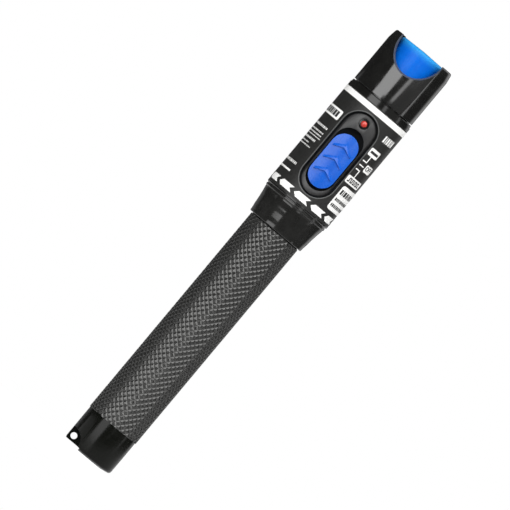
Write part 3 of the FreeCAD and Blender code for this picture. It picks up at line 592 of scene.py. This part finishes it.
def cell_finish(name, low, high):
    """A sleeve with one ring of colour, and bare steel at both ends."""
    material = finish(name, srgb(40, 44, 46), srgb(34, 38, 40), 700, (0.22, 0.30), specular=0.6, coat=0.4)
    tree = material.node_tree
    place = add_node(tree, "TexCoord")
    apart = add_node(tree, "SeparateXYZ")
    along = add_node(tree, "MapRange", {"From Min": low, "From Max": high})
    zones = add_node(tree, "ValToRGB")
    zones.color_ramp.interpolation = "CONSTANT"
    steel, sleeve, stripe = srgb(190, 190, 186), srgb(36, 40, 42), srgb(176, 128, 60)
    zones.color_ramp.elements[0].color = steel
    zones.color_ramp.elements[1].position = 0.012
    zones.color_ramp.elements[1].color = sleeve
    for position, colour in ((0.80, stripe), (0.955, sleeve), (0.968, steel)):
        zones.color_ramp.elements.new(position).color = colour
    link_nodes(
        tree,
        (place, "Object", apart, "Vector"),
        (apart, "Z", along, "Value"),
        (along, "Result", zones, "Fac"),
        (zones, "Color", tree.nodes["Principled BSDF"], "Base Color"),
    )
    return material


for name in ("cell_1", "cell_2"):
    cell_low, cell_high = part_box(name)
    dress(name, cell_finish(name + "_sleeve", cell_low.z, cell_high.z))


# ---------------------------------------------------------------------------
# Collar: a gloss black moulding, fixed in the head, that the barrel screws
# into. Inside it, a plated ring and a board carry the cells' two contacts.
# ---------------------------------------------------------------------------
collar_foot_z, collar_top_z = (corner.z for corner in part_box("coupling_collar"))
collar_bore = 8.8 * mm
collar_chamfer = 0.25 * mm
collar_foot = 10.88 * mm
collar_land = 12.12 * mm
collar_lip = 12.45 * mm
land_low, land_high, lip_low, lip_high = (shoulder_z + rise * mm for rise in (9.4, 9.95, 10.35, 10.9))
lip_groove = 0.25 * mm
collar_spigot = 10.9 * mm
ring_seat = 9.15 * mm
seat_floor = collar_top_z - 1.0 * mm
ring_bore = 8.3 * mm
thread_room = thread_top + 0.6 * mm
key_width = 2.1 * mm
housing_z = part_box("head_housing")[0].z
collar_runs = ((1.1, 4), (1.5, 10), (2.3, 5), (1.4, 9), (0.8, 6), (1.5, 10.4))
flank = []
run_radius, run_z = collar_foot, shoulder_z + 0.3 * mm
for height, slope in collar_runs:
    flare = math.tan(math.radians(slope))
    for rise in (collar_chamfer, height * mm - collar_chamfer):
        flank.append((run_radius + rise * flare, run_z + rise))
    run_radius += height * mm * flare
    run_z += height * mm
collar = turned("collar", [
    (collar_bore, shoulder_z),
    (collar_foot - collar_chamfer, shoulder_z),
    (collar_foot, shoulder_z + collar_chamfer),
    *flank,
    (collar_land, land_low, 0.1 * mm),
    (collar_land, land_high, 0.1 * mm),
    (collar_lip, lip_low, 0.12 * mm),
    (collar_lip, lip_high, 0.12 * mm),
    (collar_lip - lip_groove, lip_high),
    (collar_lip - lip_groove, housing_z),
    (collar_spigot, housing_z),
    (collar_spigot, collar_top_z),
    (ring_seat, collar_top_z),
    (ring_seat, seat_floor),
    (ring_bore, seat_floor),
    (ring_bore, thread_room),
    (collar_bore, thread_room),
])
key_low = (-key_width / 2, 7.9 * mm, thread_top + 0.3 * mm)
carve(collar, brick(key_low, (key_width / 2, 8.75 * mm, seat_floor)))
collar_black = finish("collar_black_moulding", srgb(30, 30, 29), srgb(36, 36, 35), 260, (0.10, 0.15),
                      relief=0.05, relief_grain=1800)
fit(collar, collar_black, "head", "collar_black", "coupling_collar", angle=22)
plated = finish("plated_steel", srgb(196, 194, 186), srgb(172, 170, 164), 1200, (0.18, 0.3),
                metallic=1.0, relief=0.06)
dress("negative_ring", plated)
gilt = finish("gilt_contact", srgb(212, 176, 104), srgb(196, 158, 88), 1400, (0.2, 0.32),
              metallic=1.0, relief=0.06)
dress("positive_contact", gilt)
board_green = finish("board_green", srgb(24, 78, 46), srgb(30, 92, 54), 900, (0.28, 0.36),
                     specular=0.6, relief=0.06)
dress("contact_board", board_green)


# ---------------------------------------------------------------------------
# Head housing: a gloss black moulded tube with a shouldered ring at its top
# and a window for the switch. A matt film is glued into its long seat.
# ---------------------------------------------------------------------------
housing_black = finish("housing_black", srgb(20, 20, 19), srgb(25, 25, 24), 220, (0.12, 0.18),
                       relief=0.03, relief_grain=1500)
dress("head_housing", housing_black)
label_film = finish("label_film", srgb(30, 30, 29), srgb(37, 37, 36), 1600, (0.42, 0.52), specular=0.45,
                    relief=0.12, relief_grain=12000)
dress("label_wrap", label_film)


# ---------------------------------------------------------------------------
# Print on the film: white and black ink, drawn on a flat sheet and bent round
# the film. Plain dashes, lines and boxes stand in for every word but OFF.
# ---------------------------------------------------------------------------
ink_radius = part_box("label_wrap")[1].x + 0.005 * mm
ink_thickness = 0.03 * mm
round_film = 2 * math.pi * ink_radius
label_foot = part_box("label_wrap")[0].z
band_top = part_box("label_wrap")[1].z - 0.42 * mm
band_height = 2.0 * mm
line = 0.38 * mm
box_corner = 0.5 * mm
panel_corner = 0.9 * mm
arrow_count = 11
arrow_height = 2.35 * mm
arrow_point = 1.4 * mm
arrow_gap = 2.1 * mm
bend_step = math.radians(3)


def at(degrees):
    """The place across the sheet of an angle round the film, counted from the switch towards +X."""
    return ink_radius * math.radians(degrees)


def above(height):
    """The place up the sheet of a height above the housing's foot."""
    return housing_z + height * mm


def bar(start, end, low, high):
    """A flat bar on the sheet."""
    bpy.ops.object.select_all(action="DESELECT")
    bpy.ops.mesh.primitive_plane_add(size=1)
    strip = bpy.context.object
    strip.data.transform(Matrix((
        (end - start, 0, 0, (start + end) / 2),
        (0, 0, -1, 0),
        (0, high - low, 0, (low + high) / 2),
        (0, 0, 0, 1),
    )))
    return strip


def flat(outline):
    """A flat shape on the sheet, from its (x, z) outline."""
    shape = drawn("print", [(x, 0, z) for x, z in outline])
    bpy.ops.mesh.edge_face_add()
    bpy.ops.object.mode_set(mode="OBJECT")
    return shape


def round_box(start, end, low, high, radius):
    """A flat box with round corners on the sheet."""
    corners = [(start, low), (end, low), (end, high), (start, high)]
    outline = []
    for i, corner in enumerate(corners):
        outline += rounding(corners[i - 1], corner, corners[(i + 1) % 4], radius, 4)
    return flat(outline)


def dashes(start, end, low, high, lengths, space):
    """A line of dashes between two angles, of the given lengths in turn, as far as they fit."""
    made = []
    place = at(start)
    turn = 0
    while place + lengths[turn % len(lengths)] * mm <= at(end):
        length = lengths[turn % len(lengths)] * mm
        made.append(bar(place, place + length, above(low), above(high)))
        place += length + space * mm
        turn += 1
    return made


def printed(name, shapes, thickness):
    """Flat shapes of one ink, thickened towards the viewer."""
    sheet = put_together(*shapes)
    sheet.name = name
    pick(sheet, "FACE", lambda middle, normal: True)
    bpy.ops.mesh.normals_make_consistent(inside=False)
    bpy.ops.mesh.extrude_region_move(TRANSFORM_OT_translate={"value": (0, -thickness, 0)})
    bpy.ops.mesh.select_all(action="SELECT")
    bpy.ops.mesh.normals_make_consistent(inside=False)
    bpy.ops.object.mode_set(mode="OBJECT")
    return sheet


white = [bar(-round_film / 2, round_film / 2, band_top - band_height, band_top)]
arrow_pitch = round_film / arrow_count
arrow_low = label_foot + 1.02 * mm
arrow_high = arrow_low + arrow_height
arrow_middle = (arrow_low + arrow_high) / 2
for i in range(arrow_count):
    left = -round_film / 2 + i * arrow_pitch
    notch = left + arrow_pitch - arrow_gap
    white.append(flat([
        (left, arrow_middle),
        (left + arrow_point, arrow_high),
        (notch + arrow_point, arrow_high),
        (notch, arrow_middle),
        (notch + arrow_point, arrow_low),
        (left + arrow_point, arrow_low),
    ]))

# Left of the switch: a box, four short paragraphs with a rule, and a bar.
far_left = -100
white.append(round_box(at(far_left), at(-37.2), above(30.1), above(33.7), box_corner))
for height, thickness, reach in (
        (25.75, 0.75, -38.5), (23.65, 0.5, -38.5), (22.5, 0.45, -38.5), (20.1, 0.75, -43),
        (18.55, 0.4, -52), (17.4, 0.4, -43), (10.4, 0.9, -42)):
    white += dashes(far_left, reach, height - thickness / 2, height + thickness / 2, [0.5, 0.3, 0.4], 0.35)
white.append(bar(at(far_left), at(-38.5), above(21.4), above(21.6)))
white.append(bar(at(far_left), at(-45), above(7.0), above(7.65)))

# Right of the switch: a title, the three positions with lines that lead to them, and a panel.
white += dashes(40.6, 68, 34.3, 36.75, [0.7, 0.35, 0.8], 0.45)
for start, end, low, high in ((34, 57.3, 28.05, 30.9), (49.2, 69, 22.55, 25.35), (33.2, 72, 16.3, 19.1)):
    white.append(round_box(at(start), at(end), above(low), above(high), box_corner))
lead, knee = at(35.2), at(44.1)
upper_lead, middle_lead, lower_lead = above(25.8), above(23.8), above(21.8)
white.append(bar(knee - line / 2, knee + line / 2, upper_lead, above(28.1)))
white.append(bar(lead, knee + line / 2, upper_lead - line, upper_lead))
white.append(bar(lead, at(45.5), middle_lead - line / 2, middle_lead + line / 2))
white.append(bar(lead, knee + line / 2, lower_lead, lower_lead + line))
white.append(bar(knee - line / 2, knee + line / 2, above(19.1), lower_lead))
white.append(round_box(at(38.9), at(112), above(5.75), above(15.15), panel_corner))
ink = printed("label_ink", white, ink_thickness)

# Black ink over the white: steady light, light in pulses, lines of plain dashes, and OFF.
black = [bar(at(36.6), at(54.8), above(29.05), above(29.95))]
pulse = at(3.6)
pulse_low, pulse_high = above(16.85), above(18.15)
pulse_line = 0.45 * mm
riser = 0.22 * mm
for i in range(9):
    start = at(36) + i * pulse
    level = pulse_high if i % 2 else pulse_low
    black.append(bar(start, start + pulse, level, level + pulse_line))
    if i:
        black.append(bar(start - riser, start + riser, pulse_low, pulse_high + pulse_line))
black += dashes(-99, -39.8, 30.8, 33.0, [1.1, 0.55, 1.3], 0.3)
black += dashes(42, 108, 11.85, 13.75, [0.9, 0.4, 1.2], 0.35)
black += dashes(42, 108, 9.3, 10.4, [0.7, 0.45], 0.2)
black += dashes(42, 108, 7.0, 8.15, [0.5, 0.75, 0.6], 0.25)
bpy.ops.object.select_all(action="DESELECT")
bpy.ops.object.text_add()
word = bpy.context.object
word.data.body = "OFF"
word.data.size = 2.3 * mm
word.data.offset = 0.06 * mm
word.data.align_x = "CENTER"
bpy.ops.object.convert(target="MESH")
word = bpy.context.object
narrow = 0.85
word.data.transform(Matrix(((narrow, 0, 0, at(59.1)), (0, 0, -1, 0), (0, 1, 0, above(23.3)), (0, 0, 0, 1))))
black.append(word)
marks = printed("label_marks", black, ink_thickness + 0.015 * mm)

white_ink = finish("white_ink", srgb(244, 244, 242), srgb(238, 238, 236), 900, (0.45, 0.55))
black_ink = finish("black_ink", srgb(34, 34, 34), srgb(40, 40, 40), 900, (0.45, 0.55))
ink.data.materials.append(white_ink)
marks.data.materials.append(black_ink)
put_together(ink, marks)
pick(ink, "FACE", lambda middle, normal: True)
cuts = round(2 * math.pi / bend_step)
for i in range(1, cuts):
    bpy.ops.mesh.select_all(action="SELECT")
    bpy.ops.mesh.bisect(plane_co=(-round_film / 2 + i * round_film / cuts, 0, 0), plane_no=(1, 0, 0))
bpy.ops.object.mode_set(mode="OBJECT")
bend_round(ink, 2 * math.pi)
ink.data.transform(Matrix.Translation((0, -ink_radius, 0)))
fit(ink, None, "head", "label_ink", "label_print")


# ---------------------------------------------------------------------------
# Chassis and circuit board: a moulded half shell holds the board by four
# screws; the board carries the switch, the lamp's legs and the laser's driver.
# ---------------------------------------------------------------------------
dress("chassis", finish("chassis_black", srgb(24, 24, 25), srgb(30, 30, 31), 500, (0.4, 0.5), relief=0.1))
dress("circuit_board", board_green)
for name in ("board_screws", "switch_case"):
    dress(name, plated)
dress("switch_lever", finish("lever_black", srgb(20, 20, 20), srgb(26, 26, 26), 500, (0.35, 0.45)))
dress("driver_chip", finish("chip_black", srgb(22, 22, 23), srgb(30, 30, 31), 2500, (0.45, 0.6), relief=0.2))
dress("chip_resistors", finish("resistor_body", srgb(34, 34, 38), srgb(28, 28, 30), 2500, (0.3, 0.5)))
dress("capacitor", finish("capacitor_yellow", srgb(206, 150, 44), srgb(190, 134, 34), 2500, (0.35, 0.5)))


# ---------------------------------------------------------------------------
# Bezel: a satin black moulding set in the window, with a rolled rim that slopes
# in to a ledge, a deep pocket for the knob and a hole for the lamp.
# ---------------------------------------------------------------------------
bezel_low, bezel_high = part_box("switch_bezel")
bezel_width = bezel_high.x - bezel_low.x
bezel_rim = 0.38 * mm
bezel_slope = 0.67 * mm
bezel_overhang = 0.15 * mm
bead_height = 0.13 * mm
bead_steps = 8
frame_overlap = 0.05 * mm
rim_radius = -bezel_low.y
ledge_radius = rim_radius - 1.15 * mm
slope_foot = ledge_radius + 0.45 * mm
pocket_floor = 10.2 * mm
bezel_back = -bezel_high.y
knob_low, knob_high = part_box("slider_knob")
knob_z = (knob_low.z + knob_high.z) / 2
pocket_width = 10.3 * mm
pocket_low = knob_low.z - 1.06 * mm
pocket_high = knob_high.z + 2.5 * mm
lamp_z = bezel_high.z - 3.93 * mm
lamp_hole = 1.85 * mm
slot_half_width, slot_half_height = 1.65 * mm, 5.1 * mm
in_front = 16 * mm
past_bezel = 10 * mm


def slot_outline(width, low, high, steps=18):
    """The (x, z) outline of an upright slot with round ends."""
    radius = width / 2
    outline = []
    for middle, start in ((high - radius, 0), (low + radius, math.pi)):
        for i in range(steps + 1):
            turn = start + math.pi * i / steps
            outline.append((radius * math.cos(turn), middle + radius * math.sin(turn)))
    return outline


def plate(name, outline, near, far):
    """A plate with an (x, z) outline, between two depths in front of the pen's axis."""
    piece = drawn(name, [(x, -near, z) for x, z in outline])
    bpy.ops.mesh.edge_face_add()
    bpy.ops.mesh.extrude_region_move(TRANSFORM_OT_translate={"value": (0, near - far, 0)})
    bpy.ops.mesh.select_all(action="SELECT")
    bpy.ops.mesh.normals_make_consistent(inside=False)
    bpy.ops.object.mode_set(mode="OBJECT")
    return piece


def upright(radius, middle_y=0.0):
    """A tall bar along Z, past both ends of the switch, to cut or to keep with."""
    foot, top = bezel_low.z - past_bezel, bezel_high.z + past_bezel
    return cylinder(radius, (0, middle_y, foot), (0, middle_y, top), 288)


def offset_slot(offset):
    """The outline of the bezel's body, moved outwards by an offset."""
    return slot_outline(bezel_width + 2 * offset, bezel_low.z - offset, bezel_high.z + offset)


def on_tube(outline, radius):
    """A line of points that lays an (x, z) outline on the front of a tube about the pen's axis."""
    return [(x, -math.sqrt(radius ** 2 - x ** 2), z) for x, z in outline]


def ring_of(name, sections):
    """A ring that runs through closed lines of as many points each, and from the last to the first."""
    strips = []
    for near, far in zip(sections, sections[1:] + sections[:1]):
        pair = []
        for points in (near, far):
            pair.append(drawn(name, points))
            bpy.ops.mesh.edge_face_add()
            bpy.ops.mesh.delete(type="ONLY_FACE")
            bpy.ops.object.mode_set(mode="OBJECT")
        strip = put_together(*pair)
        pick(strip, "EDGE", lambda middle, run: True)
        bpy.ops.mesh.bridge_edge_loops()
        bpy.ops.object.mode_set(mode="OBJECT")
        strips.append(strip)
    piece = put_together(*strips)
    pick(piece, "VERT", lambda place, normal: True)
    bpy.ops.mesh.remove_doubles(threshold=0.001 * mm)
    bpy.ops.mesh.normals_make_consistent(inside=False)
    bpy.ops.object.mode_set(mode="OBJECT")
    return piece


inset = bezel_rim + bezel_slope - bezel_overhang
seat_radius = ink_radius + 0.04 * mm
sections = [
    [(x, -bezel_back, z) for x, z in offset_slot(0)],
    on_tube(offset_slot(0), seat_radius),
    on_tube(offset_slot(bezel_overhang), seat_radius),
]
for i in range(bead_steps + 1):
    turn = math.pi * i / bead_steps
    offset = bezel_overhang - bezel_rim / 2 * (1 - math.cos(turn))
    sections.append(on_tube(offset_slot(offset), rim_radius - bead_height * (1 - math.sin(turn))))
sections += [
    on_tube(offset_slot(-inset), slope_foot),
    on_tube(offset_slot(-inset), ledge_radius - 0.3 * mm),
    [(x, -bezel_back, z) for x, z in offset_slot(-inset)],
]
frame_ring = ring_of("frame_ring", sections)
bezel = plate("bezel", offset_slot(frame_overlap - inset), bezel_back, in_front)
carve(bezel, upright(ledge_radius), "INTERSECT")
carve(bezel, plate("pocket", slot_outline(pocket_width, pocket_low, pocket_high), pocket_floor, in_front))
carve(bezel, cylinder(lamp_hole, (0, 0, lamp_z), (0, -in_front, lamp_z)))
carve(bezel, brick(
    (-slot_half_width, -in_front, knob_z - slot_half_height),
    (slot_half_width, 0, knob_z + slot_half_height)))
soften(bezel, 0.1 * mm, 2, 28)
put_together(bezel, frame_ring)
# The bead is painted light grey, a painted highlight along the rim of the black moulding.
bezel_bead_painted_highlight = finish("bezel_bead_painted_highlight", srgb(80, 81, 80), srgb(87, 88, 87), 600, (0.28, 0.36), specular=0.6,
                    relief=0.06)
bezel_satin = finish("bezel_satin", srgb(30, 30, 30), srgb(36, 36, 36), 600, (0.42, 0.52), specular=0.9,
                     relief=0.2)
# The slope, the walls and the back are painted near black without gloss, a painted shade; the ledge keeps
# the satin black.
bezel_walls_painted_shade = finish("bezel_walls_painted_shade", srgb(12, 13, 13), srgb(16, 17, 17), 600, (0.40, 0.50), specular=0.05,
                    relief=0.06)
for material in (bezel_bead_painted_highlight, bezel_satin, bezel_walls_painted_shade):
    bezel.data.materials.append(material)
for face in bezel.data.polygons:
    outward = Vector((face.center.x, face.center.y, 0)).normalized()
    radius = face.center.xy.length
    if radius > rim_radius - bead_height and face.normal.dot(outward) > 0:
        face.material_index = 0
    elif abs(radius - ledge_radius) < 0.1 * mm and face.normal.dot(outward) > 0.75:
        face.material_index = 1
    else:
        face.material_index = 2
fit(bezel, None, "head", "bezel", "switch_bezel")


# ---------------------------------------------------------------------------
# Knob: a blue moulded pad with a crowned top, soft edges and three raised
# chevrons, on a stem that reaches through the bezel to the switch's lever.
# ---------------------------------------------------------------------------
knob_width = 9.6 * mm
knob_top = 13.6 * mm
knob_foot = pocket_floor + 0.1 * mm
pad_foot = ledge_radius + 0.1 * mm
pad_overhang = pocket_low + 2.5 * mm - knob_low.z
knob_edge = 0.7 * mm
beyond_knob = 7 * mm
crown_radius = 20 * mm
chevron_pitch = 5.0 * mm
chevron_half = 3.7 * mm
chevron_rise = 2.15 * mm
chevron_thickness = 1.9 * mm
chevron_lip = 0.5 * mm
chevron_height = 0.72 * mm
chevron_skin = 0.6 * mm
edge_reach = 0.03 * mm
upper_fall = 0.6
lower_fall = 0.42
stem_half_width, stem_half_height = 1.55 * mm, 2.6 * mm

knob = plate("knob", slot_outline(knob_width, knob_low.z, knob_high.z), knob_foot, in_front)
carve(knob, upright(crown_radius, crown_radius - knob_top), "INTERSECT")
soften(knob, knob_edge, 5, 50)
undercut = brick((-beyond_knob, -pad_foot, knob_low.z - 2 * mm), (beyond_knob, -8 * mm, knob_z))
body_outline = slot_outline(knob_width + 0.1 * mm, knob_low.z + pad_overhang, knob_high.z + 5 * mm)
carve(undercut, plate("body", body_outline, beyond_knob, in_front))
carve(knob, undercut)
for i in (-1, 0, 1):
    peak = knob_z + i * chevron_pitch + chevron_rise
    foot = peak - chevron_thickness
    chevron = plate("chevron", [
        (0, peak),
        (chevron_half, peak - upper_fall * chevron_half),
        (chevron_half, foot - lower_fall * chevron_half),
        (0, foot),
        (-chevron_half, foot - lower_fall * chevron_half),
        (-chevron_half, peak - upper_fall * chevron_half),
    ], pad_foot + 0.5 * mm, in_front)
    carve(chevron, upright(crown_radius + chevron_height, crown_radius - knob_top), "INTERSECT")
    pick(chevron, "VERT", lambda place, normal: (
        place.y < chevron_skin - knob_top and place.z > peak - upper_fall * abs(place.x) - edge_reach))
    bpy.ops.transform.translate(value=(0, chevron_height + 0.02 * mm, 0))
    bpy.ops.object.mode_set(mode="OBJECT")
    pick(chevron, "VERT", lambda place, normal: (
        place.y < chevron_skin - knob_top and place.z < foot - lower_fall * abs(place.x) + edge_reach))
    bpy.ops.transform.translate(value=(0, 0, chevron_lip))
    bpy.ops.object.mode_set(mode="OBJECT")
    soften(chevron, 0.12 * mm, 2, 60)
    put_together(knob, chevron)
put_together(knob, brick(
    (-stem_half_width, -knob_foot - 0.5 * mm, knob_z - stem_half_height),
    (stem_half_width, -bezel_back + 0.1 * mm, knob_z + stem_half_height)))
knob_blue = finish("knob_blue", srgb(13, 92, 200), srgb(11, 87, 194), 500, (0.24, 0.32), specular=0.42,
                   relief=0.05)
fit(knob, knob_blue, "slider", "knob_blue", "slider_knob")


# ---------------------------------------------------------------------------
# Lamp: a red dome behind the bezel, with a gloss black ring round it in its hole: a dark piece put where the
# hole's shade falls.
# ---------------------------------------------------------------------------
lamp_red = finish("lamp_red", srgb(205, 66, 54), srgb(190, 52, 44), 900, (0.08, 0.14), coat=0.6)
dress("indicator_lamp", lamp_red)
gloss_black = finish("gloss_black_moulding", srgb(20, 20, 19), srgb(25, 25, 24), 220, (0.09, 0.15),
                     specular=1.0, relief=0.03, relief_grain=1500)
# The ring darkens the gap round the lamp, painted shade as a dark piece.
shade_ring_bore = 1.12 * mm
shade_ring_back = 11.3 * mm
shade_ring_radius = lamp_hole - 0.02 * mm
hole_shade_ring = turned("lamp_hole_shade_ring", [
    (shade_ring_bore, shade_ring_back),
    (shade_ring_radius, shade_ring_back),
    (shade_ring_radius, ledge_radius - 0.15 * mm),
    (shade_ring_radius - 0.1 * mm, ledge_radius + 0.12 * mm),
    (shade_ring_bore, ledge_radius + 0.15 * mm),
], 48)
hole_shade_ring.data.transform(Matrix(((1, 0, 0, 0), (0, 0, -1, 0), (0, 1, 0, lamp_z), (0, 0, 0, 1))))
fit(hole_shade_ring, gloss_black, "head", "bezel")


# ---------------------------------------------------------------------------
# Laser: a turned brass body with the diode, the lens and its ring, a split
# ceramic sleeve, and a nickel-plated port that a connector's ferrule enters.
# ---------------------------------------------------------------------------
brass = finish("brass", srgb(200, 164, 92), srgb(184, 146, 76), 1500, (0.2, 0.34), metallic=1.0)
dress("laser_housing", brass)
dress("laser_diode", plated)
dress("lens_ring", plated)
dress("focus_lens", finish("lens_glass", srgb(220, 226, 230), srgb(210, 218, 224), 900, (0.02, 0.05)))
dress("ceramic_sleeve", finish("zirconia", srgb(238, 236, 228), srgb(230, 228, 220), 900, (0.12, 0.2)))
nickel = finish("nickel", srgb(190, 188, 180), srgb(176, 174, 166), 1500, (0.18, 0.3), metallic=1.0)
dress("ferrule_port", nickel)


# ---------------------------------------------------------------------------
# Shroud: a gloss black moulding that guards the port, pressed into the housing
# by its spigot, with a drafted round cut-out in its front and its back.
# ---------------------------------------------------------------------------
shroud_radius = 12.4 * mm
shroud_taper = 0.55 * mm
shroud_bore = 10.9 * mm
shroud_foot = 154.42 * mm
shroud_floor = 154.55 * mm
shroud_recess = 0.9 * mm
floor_thickness = 2 * mm
housing_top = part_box("head_housing")[1].z
spigot_radius = 10.9 * mm
spigot_bore = 9.3 * mm
spigot_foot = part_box("port_shroud")[0].z
module_hole = 3.65 * mm
cutout_depth = 10.7 * mm
cutout_draft = 0.42
shroud_turn = math.radians(-4.2)
shroud = turned("shroud", [
    (spigot_bore, spigot_foot),
    (spigot_radius, spigot_foot),
    (spigot_radius, housing_top),
    (shroud_radius - shroud_recess, housing_top),
    (shroud_radius - shroud_recess, shroud_foot),
    (shroud_radius, shroud_foot, 0.12 * mm),
    (shroud_radius, tip - 3.5 * mm),
    (shroud_radius - shroud_taper, tip, 0.8 * mm),
    (shroud_bore, tip),
    (shroud_bore, shroud_floor),
    (module_hole, shroud_floor),
    (module_hole, shroud_floor - floor_thickness),
    (spigot_bore, shroud_floor - floor_thickness),
], 180)
for side in (-1, 1):
    reach = side * (shroud_radius + 1 * mm)
    end = Vector((-reach * math.sin(shroud_turn), reach * math.cos(shroud_turn), tip))
    inner, outer = cutout_depth - cutout_draft * shroud_radius, cutout_depth + cutout_draft * mm
    carve(shroud, cylinder(inner, (0, 0, tip), end, 128, outer))
cut_axis = Vector((-math.sin(shroud_turn), math.cos(shroud_turn), 0))


def on_cutout(place):
    """Whether a place lies on the drafted wall of either cut-out."""
    along = abs(place.dot(cut_axis))
    aside = (place - cut_axis * place.dot(cut_axis) - Vector((0, 0, tip))).length
    return abs(aside - cutout_depth + cutout_draft * (shroud_radius - along)) < 0.05 * mm


soften(shroud, 0.2 * mm, 3, 30)
# The drafted walls of the cut-outs are painted light grey, a painted highlight along the cut edges of the
# gloss black moulding.
cut_edge = finish("cut_wall_painted_highlight", srgb(76, 78, 82), srgb(84, 86, 90), 900, (0.40, 0.50), relief=0.06)
shroud.data.materials.append(gloss_black)
shroud.data.materials.append(cut_edge)
for face in shroud.data.polygons:
    face.material_index = 1 if on_cutout(face.center) else 0
fit(shroud, None, "head", "gloss_black", "port_shroud", angle=30)


# ---------------------------------------------------------------------------
# Cap: a blue moulded cup with a domed roof that slips over the port.
# ---------------------------------------------------------------------------
cap_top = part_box("dust_cap")[1].z
# The blue is painted lighter towards the top, a painted highlight on the cap's rounded roof edge.
roof_painted_highlight = srgb(52, 160, 222)
roof_start, roof_full = cap_top - 3.4 * mm, cap_top + 0.6 * mm
cap_blue = finish("cap_blue", srgb(7, 105, 214), srgb(5, 99, 208), 500, (0.26, 0.36), specular=0.12,
                  relief=0.04)
tree = cap_blue.node_tree
shader = tree.nodes["Principled BSDF"]
body_tone = shader.inputs["Base Color"].links[0].from_socket
place = add_node(tree, "TexCoord")
apart = add_node(tree, "SeparateXYZ")
near_roof = add_node(tree, "MapRange", {"From Min": roof_start, "From Max": roof_full})
near_roof.interpolation_type = "SMOOTHSTEP"
shade = tree.nodes.new("ShaderNodeMix")
shade.data_type = "RGBA"
shade.inputs["B"].default_value = roof_painted_highlight
tree.links.new(body_tone, shade.inputs["A"])
link_nodes(
    tree,
    (place, "Object", apart, "Vector"),
    (apart, "Z", near_roof, "Value"),
    (near_roof, "Result", shade, "Factor"),
    (shade, "Result", shader, "Base Color"),
)
dress("dust_cap", cap_blue)
